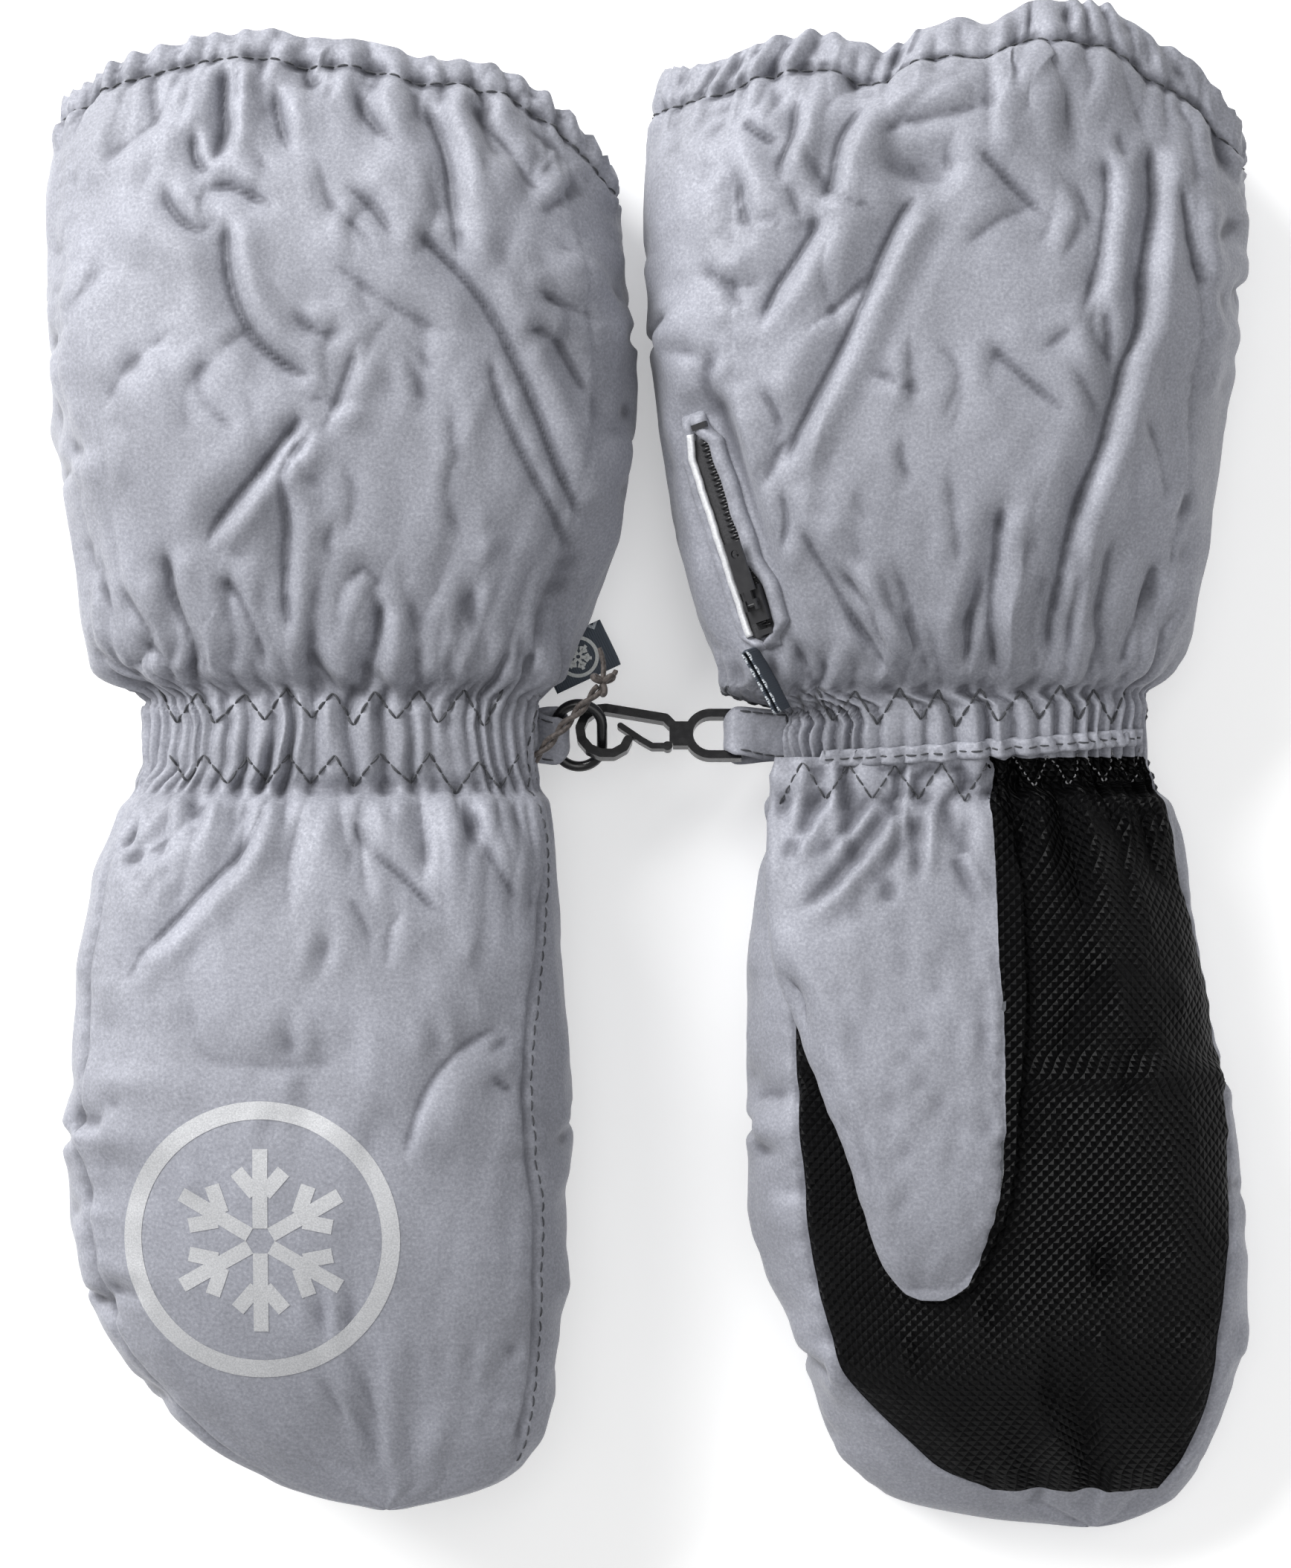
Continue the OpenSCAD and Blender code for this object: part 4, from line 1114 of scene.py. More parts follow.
        # it lies on the table
        height = grid[..., 2] if self.side == "right" else THICK - grid[..., 2]
        height = np.where(height < 2.0, 0.35 + 1.65 * np.exp((height - 2.0) / 1.65), height)
        grid[..., 2] = height if self.side == "right" else THICK - height
        self.grid = flat_under_zip(self.fit(grid))
        centre = self.grid[-1].mean(0)
        self.grid[-1] = centre + (self.grid[-1] - centre) * 0.03
        self.normal = normals(self.grid)
        self.normal[-1] = unit(self.normal[-3].mean(0))
        # painted shade: furrow depth darkens the shell's colour, and is halved round the wrist band
        self.furrow = furrow_depth(self.grid, self.normal)
        self.furrow = self.furrow * (1 - 0.5 * bump(self.y, 9, 14))[:, None]
        self.along, self.girth = self.arc()

    def slide(self, grid):
        """Columns move round each row until the seams are at their places in SEAMS."""
        count = self.around
        marks = np.array(SEAM_COLS, int) * FINE_COLS
        seams = np.repeat(marks[None].astype(float), len(self.y), 0)
        for k, stations in SEAMS[self.side].items():
            wanted = curve(stations)(self.y) + SEAM_SHIFT
            palm = k < 2
            sign = -1 if palm else 1
            first = -11 if palm else (PALM_COLS + 1) * FINE_COLS
            place = np.arange(first, PALM_COLS * FINE_COLS + 11 if palm else count - 6)
            middle = len(place) // 2
            half = slice(0, middle) if k in (0, 2) else slice(middle, len(place))
            for j in range(len(self.y)):
                x = np.maximum.accumulate(sign * grid[j, place % count, 0])
                found = np.interp(sign * wanted[j], x + np.arange(len(x)) * 1e-6, place)
                seams[j, k] = np.clip(found, place[half][0], place[half][-1])
        for k in range(4):
            seams[:, k] = averaged(seams[:, k], 4)
        seams[:, 2] = np.maximum(seams[:, 2], seams[:, 1] + 10)
        seams[:, 3] = np.minimum(seams[:, 3], seams[:, 0] + count - 10)
        moved = np.zeros_like(grid)
        marks = np.concatenate([marks, [count]])
        for j, row in enumerate(grid):
            ends = np.concatenate([seams[j], [seams[j, 0] + count]])
            place = np.interp(np.arange(count), marks, ends) % count
            i = place.astype(int)
            near = (row[(i + k) % count] for k in (-1, 0, 1, 2))
            moved[j] = cubic(*near, (place - i)[:, None])
        return moved

    def fit(self, grid):
        """Each row is stretched sideways to the mitten's own outline."""
        rows = np.arange(len(self.y))
        weight = smooth(0, 5, self.y - self.tip)
        now, wanted = [], []
        x = grid[:, :, 0]
        for edge, ends in ((LEFT, x.argmin(1)), (RIGHT, x.argmax(1))):
            current = averaged(grid[rows, ends, 0], 9)
            target = outline(self.side, edge, averaged(grid[rows, ends, 1], 9))
            now.append(current[:, None])
            wanted.append((current + (target - current) * weight)[:, None])
        share = (x - now[0]) / (now[1] - now[0])
        grid = grid.copy()
        grid[:, :, 0] = wanted[0] + share * (wanted[1] - wanted[0])
        return grid

    def point(self, column, y):
        """Points and normals at coarse columns and rows' y."""
        y, column = np.broadcast_arrays(np.asarray(y, float), np.asarray(column, float))
        row = np.interp(-y, -self.y, np.arange(len(self.y)))
        fine = (column * FINE_COLS) % self.around
        j = np.clip(row.astype(int), 0, len(self.y) - 2)
        i = fine.astype(int) % self.around
        after = (i + 1) % self.around
        u, v = (row - j)[..., None], (fine - np.floor(fine))[..., None]

        def blend(values):
            upper = values[j, i] * (1 - v) + values[j, after] * v
            return upper * (1 - u) + (values[j + 1, i] * (1 - v) + values[j + 1, after] * v) * u

        return blend(self.grid), unit(blend(self.normal))

    def drop(self, x, y, facing, offset=0.0):
        """Point and normal at x, y, met from above (facing 1) or below (-1)."""
        start = Vector((x, y, 100.0 * facing))
        place, normal, _, _ = self.tree.ray_cast(start, Vector((0, 0, -facing)))
        if place is None:
            return None, None
        normal = np.array(normal)
        normal = normal if normal[2] * facing > 0 else -normal
        return np.array(place) + normal * offset, normal

    def patch(self, name, rows, columns, material):
        """The fabric between two fine rows and two fine columns, as its own object."""
        down = slice(rows[0], rows[1] + 1)
        across = np.arange(columns[0], columns[1] + 1) % self.around
        grid = self.grid[down][:, across]
        count = grid.shape[1]
        steps = np.linalg.norm(np.diff(grid, axis=1), axis=2)
        u = np.concatenate([np.zeros((len(grid), 1)), np.cumsum(steps, 1)], 1)
        u = u - u[:, [count // 2]]
        v = np.broadcast_to(self.y[down, None], u.shape)
        return piece(
            name,
            self.side,
            grid.reshape(-1, 3),
            grid_faces(len(grid), count, False),
            material,
            uv=np.stack([u, v], -1).reshape(-1, 2),
            shading=world_normals(self.side, self.normal[down][:, across]),
            # furrow depth for the painted shade
            furrow=self.furrow[down][:, across],
        )


def world_normals(side, normal):
    return normal.reshape(-1, 3) * (1, 1, -1 if side == "left" else 1)


# ---------------------------------------------------------------- joining pieces to the frame
def replace(side, nodes):
    if nodes:
        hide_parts(*(f"{side}_{node}" for node in nodes))


def hang(made, side, *nodes):
    """Fabric that crosses the wrist is fixed where it lies: its placement is baked into its points, and the
    parts it replaces are hidden.
    """
    start, end = to_world(side, [0, 6.0, 20]), to_world(side, [0, -7.0, 20])
    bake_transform(made)
    replace(side, nodes)


def attach(made, side, part, *nodes):
    """A piece that moves with one part of a mitten."""
    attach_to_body(made, f"{side}_{part}")
    replace(side, nodes)


def add_panels(side, shell):
    def row(y):
        return nearest(shell.y, y)

    hem, cuff_end, hand_start = row(shell.top - HEM_DEPTH[side]), row(17.5), row(-3.0)
    palm_start, palm_end = row(4.0), row(-150.4 if side == "right" else -143.5)
    tip = len(shell.y) - 1
    seam0, seam1, seam2, seam3 = (column * FINE_COLS for column in SEAM_COLS)
    palm, back, thumb_side = (seam0, seam1), (seam2, seam3), (seam1, seam2)
    outer_side = (seam3, shell.around)
    cuff, hand = (hem, cuff_end), (hand_start, tip)
    # name, rows, columns, material, CAD nodes replaced
    for name, rows, columns, material, *nodes in (
        ("hem", (0, hem), (0, shell.around), SHELL, "hem_casing", "hem_elastic"),
        ("cuff_palm", cuff, palm, SHELL, "cuff_palm_panel"),
        ("cuff_back", cuff, back, SHELL, "cuff_back_panel"),
        ("cuff_side_thumb", cuff, thumb_side, SHELL, "cuff_side_panels"),
        ("cuff_side_outer", cuff, outer_side, SHELL),
        ("wrist_band_palm", (cuff_end, palm_start), palm, SHELL),
        ("wrist_band", (cuff_end, hand_start), (seam1, shell.around), SHELL,
         "wrist_casing", "wrist_elastic"),
        ("palm", (palm_start, palm_end), palm, GRIP, "palm_grip_panel", "palm_wadding"),
        ("palm_tip", (palm_end, tip), palm, SHELL),
        ("hand_back", hand, back, SHELL, "hand_back_panel", "back_wadding"),
        ("gusset_thumb", hand, thumb_side, SHELL, "side_gusset"),
        ("gusset_outer", hand, outer_side, SHELL),
    ):
        hang(shell.patch(f"{side}_{name}", rows, columns, material), side, *nodes)


# ---------------------------------------------------------------- thumb
# y, left edge, right edge, how far the black side reaches past it, top z, underside z
THUMB = table("""
    3.6 -39.5 5 0.0 34.4 31       0 -40.2 5 0.2 34.8 30         -6 -40.5 5 1.4 36.8 28
    -12 -41.2 5.3 4.0 39.4 29     -20 -41.8 5.6 4.8 42 30       -30 -41.3 5.9 5.2 44.3 31
    -40 -39.8 6.2 5.1 46 32.5     -52 -35.4 6.8 4.0 47 33       -66 -30.3 7.3 2.7 47.3 34
    -80 -24.6 6.8 2.1 46.9 34     -90 -21.6 5.2 1.6 45.8 34.4   -95 -20.2 3.8 1.2 44.8 34.6
    -100 -18.2 2.3 0.8 43.3 35    -104 -15.4 0.2 0.5 41.4 35.6  -106.2 -13.0 -2.4 0.3 39.8 36.2
    -107.4 -9.6 -5.6 0.1 38.6 37.2""", 6)
# x0, y0, x1, y1, width, height, bow
THUMB_FOLDS = table("""
    -11.5 -5.0 -33.0 -30.0 2.0 1.5 1.5   -36.3 -33.0 -15.5 -86.0 2.4 0.9 -1.0
    -7.4 -6.0 -8.2 -22.0 1.5 0.9 0       -1.2 -15.0 4.6 -27.5 1.3 0.7 0
    -27.0 -4.0 -35.5 -19.0 1.6 1.0 0     -17.5 -5.0 -28.0 -17.5 1.3 0.8 0
    -31.2 -41.0 -24.0 -60.0 1.8 0.6 0    -20.5 -70.0 -15.5 -97.0 1.6 0.45 0
    5.5 -40 4.5 -60 1.6 0.4 0""", 7)


class Thumb:
    """The thumb with its base. Column 0 and column FAR_SEAM are its two seams."""

    COUNT, FAR_SEAM = 96, 58
    POWER = 0.74  # squareness of its sections

    def __init__(self, side, shell, seed):
        self.side = side
        tip = THUMB[-1, 0]
        self.y = np.concatenate([np.arange(3.6, -96, -1.25), tip + 11 * np.linspace(1, 0, 15) ** 1.8])
        grid = self.sections()
        normal = self.outward(grid)
        relief = self.relief(grid, normal, Noise(seed))
        relief = relief * smooth(0, 2.5, self.y - tip)[:, None]
        grid = grid + normal * relief[..., None]
        # it rests on the palm, and stays below the table's height for the turned one
        under = np.zeros(grid.shape[:2])
        for j, i in np.ndindex(under.shape):
            place, _ = shell.drop(grid[j, i, 0], grid[j, i, 1], 1)
            under[j, i] = -1e3 if place is None else place[2]
        upper = smooth(-0.3, 0.3, normal[:, :, 2])
        grid[:, :, 2] = np.maximum(grid[:, :, 2], under + 0.35 + 0.75 * upper)
        grid[:, :, 2] = np.minimum(grid[:, :, 2], 47.75)
        grid[-1] = grid[-1].mean(0) + (grid[-1] - grid[-1].mean(0)) * 0.04
        self.grid = grid
        self.normal = self.outward(grid)
        self.normal[-1] = unit(self.normal[-3].mean(0))

    def sections(self):
        left, right, past, top, under = (curve(THUMB[:, [0, k]])(self.y) for k in range(1, 6))
        if self.side == "left":
            lean = 7 * np.maximum(0, -self.y - 8) / 152
            left, right = left - lean, right - lean
        grid = np.zeros((len(self.y), self.COUNT, 3))
        sweep = np.linspace(0, 2 * pi, 1441)
        for j, y in enumerate(self.y):
            edge = right[j] + past[j]
            centre, width = (left[j] + edge) / 2, (edge - left[j]) / 2
            start = acos(min(1, max(0, (right[j] - centre) / width)) ** (1 / self.POWER))
            mid, half = (top[j] + under[j]) / 2, (top[j] - under[j]) / 2
            x, z, along = superellipse(left[j], edge, mid, half, self.POWER, start + sweep)
            far = np.interp(pi + 0.45 - start, sweep, along)
            place = np.concatenate([
                np.linspace(0, far, self.FAR_SEAM, endpoint=False),
                np.linspace(far, along[-1], self.COUNT - self.FAR_SEAM, endpoint=False),
            ])
            xs, zs = np.interp(place, along, x), np.interp(place, along, z)
            grid[j] = np.stack([xs, np.full(self.COUNT, y), zs], -1)
        return grid

    def relief(self, grid, normal, noise):
        x, y = grid[:, :, 0], grid[:, :, 1]
        upper = smooth(-0.2, 0.35, normal[:, :, 2])
        relief = creases(x, y, THUMB_FOLDS) * upper
        # a dent at the left edge
        relief -= 3.4 * spot(x, y, (-37.5, -46.5), (4.2, 5.5)) * upper
        # pleats below the wrist line
        phase = x * 2 * pi / 7.4 + 1.6 * noise(x * 0.12, y * 0.1)
        pleats = np.sin(phase) + 0.6 * np.sin(phase * 1.63 + 1)
        fade = smooth(4.6, 1.5, y) * np.exp(-np.maximum(-y - 5, 0) / 8.0) * smooth(-45, -38, x)
        relief += 0.75 * pleats * upper * fade
        relief += 1.0 * upper * bump(y, -1.0, 3.5) - 0.7 * upper * bump(y, -5.5, 2.0)
        # general unevenness
        relief += 0.35 * noise(x * 0.09 + 4, y * 0.06) + 0.16 * noise(x * 0.3, y * 0.21 + 8)
        for seam in (0, self.FAR_SEAM):  # sunk, with puckers
            away = np.abs(np.arange(self.COUNT) - seam)
            away = np.minimum(away, self.COUNT - away)[None]
            relief -= 0.45 * np.exp(-((away / 1.1) ** 2)) * smooth(2, -8, y)
            relief += 0.18 * np.sin(y * 2 * pi / 4.6 + seam) * np.exp(-((away / 3.5) ** 2))
        return relief

    @staticmethod
    def outward(grid):
        normal = normals(grid)
        out = grid - grid.mean(1, keepdims=True)
        return normal * np.sign((out * normal).sum(axis=(1, 2), keepdims=True))

    def patch(self, name, rows, columns, material):
        down = slice(rows[0], rows[1] + 1)
        across = np.arange(columns[0], columns[1] + 1) % self.COUNT
        grid = self.grid[down][:, across]
        faces = grid_faces(*grid.shape[:2], False, self.side == "left")
        verts = to_world(self.side, grid.reshape(-1, 3))
        shading = world_normals(self.side, self.normal[down][:, across])
        # faces are turned if a middle one looks against its normal
        middle = faces[len(faces) // 2]
        first, second, third = verts[middle[:3]]
        if np.cross(second - first, third - second) @ shading[middle[0]] < 0:
            faces = faces[:, ::-1]
        return mesh_object(
            name,
            verts,
            faces,
            material,
            uv=grid[..., :2].reshape(-1, 2),
            shading=shading,
            # furrow depth for the painted shade, as on the shell
            furrow=furrow_depth(self.grid, self.normal)[down][:, across],
        )

    def point(self, xs, ys):
        """Points and normals on the upper side at local x, y."""
        points, outward = [], []
        for x, y in zip(np.atleast_1d(xs), np.atleast_1d(ys)):
            j = nearest(self.y, y)
            i = nearest(self.grid[j, : self.FAR_SEAM, 0], x)
            points.append([x, y, self.grid[j, i, 2]])
            outward.append(self.normal[j, i])
        return np.array(points), np.array(outward)

    def lining(self):
        """Rings of a tube inside the thumb."""
        rings = []
        angle = np.linspace(0, 2 * pi, 24, endpoint=False)
        for j in range(nearest(self.y, -20.0) + 4, len(self.y) - 9, 3):
            ring = self.grid[j]
            high, low = ring[:, 0].max(), ring[:, 0].min()
            x = (high + low) / 2 + ((high - low) / 2 - 2.2) * np.cos(angle)
            roof, ground = [], []
            for place in x:
                near = ring[np.abs(ring[:, 0] - place) < 1.6, 2]
                cut = (near.max() + near.min()) / 2
                roof.append(near[near >= cut].min())
                ground.append(near[near < cut].max())
            roof, ground = np.array(roof), np.array(ground)
            half = np.maximum(0.15, (roof - ground) / 2 - 1.3) * 0.8
            z = (roof + ground) / 2 + half * np.sin(angle)
            rings.append(np.stack([x, np.full(24, self.y[j]), z], -1))
        return np.array(rings)


def add_thumb(side, shell):
    thumb = Thumb(side, shell, 5)
    base_end, tip = nearest(thumb.y, -20.0), len(thumb.y) - 1
    upper, under = (0, Thumb.FAR_SEAM), (Thumb.FAR_SEAM, Thumb.COUNT)
    prefix = side + "_thumb_"
    hang(thumb.patch(prefix + "base", (0, base_end), upper, SHELL), side, "thumb_gore")
    hang(thumb.patch(prefix + "base_under", (0, base_end), under, GRIP), side)
    # the ends of a 13 mm span round the thumb's knuckle, along its own direction
    knuckle, direction = np.array([-15.9, -41.8]), np.array([0.479, -0.878])
    start, end = (
        tuple(to_world(side, [*(knuckle + reach * direction), 42])) for reach in (-6.5, 6.5)
    )
    top = thumb.patch(prefix + "outer", (base_end, tip), upper, SHELL)
    bottom = thumb.patch(prefix + "inner", (base_end, tip), under, GRIP)
    rings = thumb.lining()
    faces = grid_faces(*rings.shape[:2], True)
    lining = piece(prefix + "lining_tube", side, rings.reshape(-1, 3), faces, FLEECE)
    for made, nodes in (
        (top, ("thumb_back_panel", "thumb_wadding")),
        (bottom, ("thumb_grip_panel",)),
        (lining, ("thumb_lining",)),
    ):
        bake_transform(made)
        replace(side, nodes)
    return thumb


# ---------------------------------------------------------------- stitch lines
BOLD = dict(step=2.9, gap=0.35, radius=0.26, lift=0.14)
# x of the upper peaks of the zigzags on the upward face, then y of peaks and of troughs
PEAKS = {
    "right": [([-31, -23, -14, -6, 2.5, 11, 19, 26, 33], 17.6, 10.8)],
    "left": [
        ([-36, -27.5, -17.5, -9, 0.5, 9, 18, 27, 35], 16.9, 10.8),
        ([-33.5, -26, -17, -8.5, 1, 10, 20, 30, 38], 3.8, -2.0),
    ],
}
# evenly pitched zigzags round the rest: low y, high y, seed step, first and last column
ROUND_ZIGZAGS = {
    "right": [(10.6, 17.4, 0, PALM_COLS + 2.0, COLS - 1.0), (-3.4, 3.9, 1, PALM_COLS + 1.0, COLS - 0.5)],
    "left": [(10.6, 17.4, 0, 1.0, PALM_COLS + 2.0)],
}


def round_zigzag(bag, shell, low, high, seed, first, last, pitch=9.0):
    row = nearest(shell.y, (low + high) / 2)
    along = np.append(shell.along[row], shell.girth[row])
    column = np.append(shell.cols, COLS)
    start, end = np.interp([first, last], column, along)
    count = 2 * int(round((end - start) / pitch))
    rng = np.random.default_rng(seed)
    xs = np.linspace(start, end, count + 1)
    xs[1:-1] += rng.normal(0, 0.55, count - 1)
    ys = np.where(np.arange(count + 1) % 2, high, low) + rng.normal(0, 0.5, count + 1)
    bag.zigzag(xs, ys, lambda x, y: shell.point(np.interp(x, along, column), y), seed, **BOLD)


def add_stitching(side, shell, thumb):
    seed = 70 if side == "right" else 140
    facing = 1 if side == "right" else -1
    bag = Bag()
    rng = np.random.default_rng(seed + 2)

    def dropped(xs, ys):
        hits = [shell.drop(x, y, facing) for x, y in zip(xs, ys)]
        hits = [hit for hit in hits if hit[0] is not None]
        return np.array([hit[0] for hit in hits]), np.array([hit[1] for hit in hits])

    for peaks, high, low in PEAKS[side]:
        troughs = (np.array(peaks[1:]) + peaks[:-1]) / 2 + rng.normal(0, 0.5, len(peaks) - 1)
        xs = np.sort(np.concatenate([peaks, troughs]))
        ys = np.where(np.arange(len(xs)) % 2, low, high) + rng.normal(0, 0.55, len(xs))
        bag.zigzag(xs, ys, dropped, seed, **BOLD)
    for low, high, step, first, last in ROUND_ZIGZAGS[side]:
        round_zigzag(bag, shell, low, high, seed + step, first, last)
    # across the thumb's base
    ys = np.where(np.arange(10) % 2, 2.2, -5.4) + rng.normal(0, 0.5, 10)
    xs = np.linspace(-38.5, 4.0, 10)
    bag.zigzag(xs, ys, thumb.point, 0, step=2.9, gap=0.4, radius=0.2, lift=0.14)
    # round the hem
    path = shell.point(np.linspace(0, COLS, 420), shell.top - HEM_DEPTH[side] - 0.1)
    bag.stitch(*path, step=3.2, gap=0.6, radius=0.19, lift=0.12, seed=seed + 3)
    # beside the seams: column, first y, last y
    back_left, back_right = SEAM_COLS[2:]
    end = shell.tip + 9
    lines = [(back_right, 14.0, -5.0), (back_right, -6.0, end)]
    if side == "right":
        lines += [(back_right, shell.top - 12, 19.0), (back_left, -6.0, end)]
    for column, first, last in lines:
        path = shell.point(column + 0.32, np.linspace(first, last, 260))
        bag.stitch(*path, step=3.1, gap=0.7, radius=0.17, lift=0.06, seed=seed + column)
    hang(bag.build(side + "_stitching", side, THREAD), side)


def add_palm_stitching(side, shell):
    """Light zigzag on the palm beside the thumb's base."""
    bag = Bag()
    last = 12.6  # column where the line ends
    bag.zigzag(
        np.linspace(0.4, last, 9),
        np.where(np.arange(9) % 2, -2.6, 4.2),
        lambda column, y: shell.point(column, y + 1.6 * (1 - column / last)),
        0, samples=10, step=1.5, gap=0.75, radius=0.15, lift=0.1,
    )
    hang(bag.build(side + "_palm_stitching", side, THREAD_GREY), side)


# ---------------------------------------------------------------- straps
def ribbon(name, material, path, across, normal, half, thick, columns, bulge, wave, seed):
    """A flat strap with real thickness along a path in world mm. half is its half-width."""
    count = len(path)
    half = np.broadcast_to(half, (count,))
    v = np.linspace(-1, 1, columns)
    uneven = wave * Noise(seed)(np.arange(count)[:, None] * 0.21, v[None] * 1.7 + 5)
    lift = uneven + bulge * (1 - v[None] ** 2)
    middle = path[:, None] + across[:, None] * (half[:, None] * v[None])[..., None]
    middle = middle + normal[:, None] * lift[..., None]
    depth = normal[:, None] * (thick / 2 * (1 - 0.35 * np.abs(v) ** 6))[None, :, None]
    ring = np.concatenate([middle + depth, (middle - depth)[:, ::-1]], 1)
    shape = ring.shape[:2]
    width = np.concatenate([v, v[::-1]])[None] * float(half.max())
    uv = [np.broadcast_to(q, shape) for q in (travelled(path)[:, None], width)]
    uv = np.stack(uv, -1).reshape(-1, 2)
    return piece(name, None, ring.reshape(-1, 3), capped_faces(*shape), material, uv=uv)


def smoothed_height(z, reach):
    return averaged(z, reach)


def add_strap_band(side, shell, thumb):
    """Flat band over the gathers on the palm side, with its own stitches."""
    column = np.linspace(0.2, PALM_COLS - 1.0, 260)
    x = shell.point(column, 4.0)[0][:, 0]
    y = 3.2 + np.clip((x + 36) / 72, 0, 1) * 4.6
    path, _ = shell.point(column, y)
    path[:, 2] = np.maximum(path[:, 2], averaged(path[:, 2], 7)) + 0.75
    for k in range(len(path)):  # over the thumb's base too
        if path[k, 0] < 6:
            below, _ = thumb.point(path[k, 0], min(y[k], 3.5))
            path[k, 2] = max(path[k, 2], below[0, 2] + 0.2)
    path[:, 2] = np.minimum(averaged(path[:, 2], 4), 47.6)
    path = to_world(side, path) * 1000
    along = tangents(path)
    upward = np.zeros_like(path)
    upward[:, 2] = 1 if side == "right" else -1
    across = unit(np.cross(upward, along))
    normal = np.cross(along, across)
    normal *= np.sign(normal[:, 2:3]) * upward[:, 2:3]
    band = ribbon(
        side + "_strap_band", SHELL, path, across, normal,
        half=1.75, thick=0.6, columns=7, bulge=0.1, wave=0.12, seed=9,
    )
    hang(band, side)
    bag = Bag()
    line = path - across * 0.15 * np.sign(across[:, 1:2])
    bag.stitch(line, normal, step=3.0, gap=0.55, radius=0.19, lift=0.36, seed=4)
    hang(bag.build(side + "_band_stitches", None, THREAD), side)


# each strap: x of the clip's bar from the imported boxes, way it faces, tilt in degrees, and x of
# its root at the wrist, all in world mm
STRAPS = {
    "right": (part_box("snap_hook")[1].x * 1000 - 1.0, 1, -20, WRIST_X["right"] - 36.5),
    "left": (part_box("clip_ring")[0].x * 1000 + 1.1, -1, 25, WRIST_X["left"] + 37.0),
}


def add_strap(side):
    """The loop round one bar of the clip: two plies that meet in the wrist seam."""
    bar_x, way, tilt, wrist_x = STRAPS[side]
    loop_radius, root_gap, half_width = 2.75, 0.75, 5.35
    t = np.linspace(0, 1, 26)
    ply_x = wrist_x + (bar_x - wrist_x) * t
    ply_z = root_gap + (loop_radius - root_gap) * smooth(0.0, 0.95, t)
    angle = np.linspace(0, pi, 17)[1:-1]
    x = np.concatenate([ply_x, bar_x - way * loop_radius * np.sin(angle), ply_x[::-1]])
    z = np.concatenate([ply_z, loop_radius * np.cos(angle), -ply_z[::-1]])
    twist = np.concatenate([smooth(0.1, 1, t), np.ones(len(angle)), smooth(0.1, 1, t)[::-1]])
    twist = twist * radians(tilt)
    straight = np.full(len(t), half_width)
    pinched = 3.55 + 1.8 * np.abs(np.cos(angle)) ** 2.4
    half = np.concatenate([straight, pinched, straight])
    across = np.stack([np.zeros_like(twist), np.cos(twist), np.sin(twist)], 1)
    rise = np.stack([np.zeros_like(twist), -np.sin(twist), np.cos(twist)], 1)
    path = np.stack([x, np.full_like(x, WRIST_Y + 8.2), np.full_like(x, 22.0)], 1)
    path = path + rise * z[:, None]
    normal = np.cross(tangents(path), across) * way
    loop = ribbon(
        side + "_strap_loop", SHELL, path, across, normal,
        half, thick=0.55, columns=11, bulge=0.25, wave=0.12, seed=3,
    )
    bag = Bag()
    ply = slice(0, len(t) - 1)
    surface = normal[ply] * 0.35 * np.sign(normal[ply, 2:3])
    for edge in (-0.8, 0.8):
        line = path[ply] + across[ply] * (half[ply] * edge)[:, None] + surface
        upward = np.broadcast_to([0, 0, 1.0], line.shape)
        bag.stitch(line, upward, step=2.8, gap=0.5, radius=0.19, lift=0.12, seed=5)
    stitches = bag.build(side + "_strap_stitches", None, THREAD)
    attach(loop, side, "cuff", "wrist_strap")
    attach(stitches, side, "cuff")


# ---------------------------------------------------------------- zip, in its own axes
def add_zip_tape(side):
    bag = Bag()
    xs = np.linspace(-2, 40.5, 60)
    for way, edge in ((-1, -2.7), (1, 3.9)):
        profile = [(way * 0.15, 0.3), (way * 0.15, 0.75), (way * 1.8, 0.72), (edge, 0.7),
                   (edge, 0.25), (way * 1.8, 0.27)]
        ring = [[(x, y, z + 0.05 * sin(x * 0.9 + way)) for y, z in profile] for x in xs]
        bag.add(on_zip(np.array(ring).reshape(-1, 3)), capped_faces(len(xs), len(profile)))
    attach(bag.build(side + "_zip_tape", side, TAPE), side, "cuff", "zip_tapes")


def add_zip_teeth(side):
    bag = Bag()
    for k, x in enumerate(np.arange(0.3, 40.2, 0.62)):
        way = 1 if k % 2 else -1
        path = [(x, way * 1.4, 0.7), (x, way * 1.1, 1.05), (x + 0.05, way * 0.2, 1.12),
                (x + 0.12, -way * 0.35, 0.95), (x + 0.12, -way * 0.45, 0.7)]
        bag.add(*tube(on_zip(path), [0.2, 0.26, 0.27, 0.25, 0.18], 6))
    attach(bag.build(side + "_zip_teeth", side, METAL), side, "cuff", "zip_coil")


def add_zip_piping(side):
    bag = Bag()
    x = np.linspace(-1, 42, 70)
    wobble = 0.12 * np.sin(x * 0.7) + 0.08 * np.sin(x * 1.9)
    y = 4.1 + 0.4 * wobble - 1.2 * smooth(36, 42, x)
    bag.add(*tube(on_zip(np.stack([x, y, 1.35 + 0.2 * wobble], 1)), 0.8, 12))
    attach(bag.build(side + "_zip_silver_piping", side, SILVER), side, "cuff", "zip_piping")


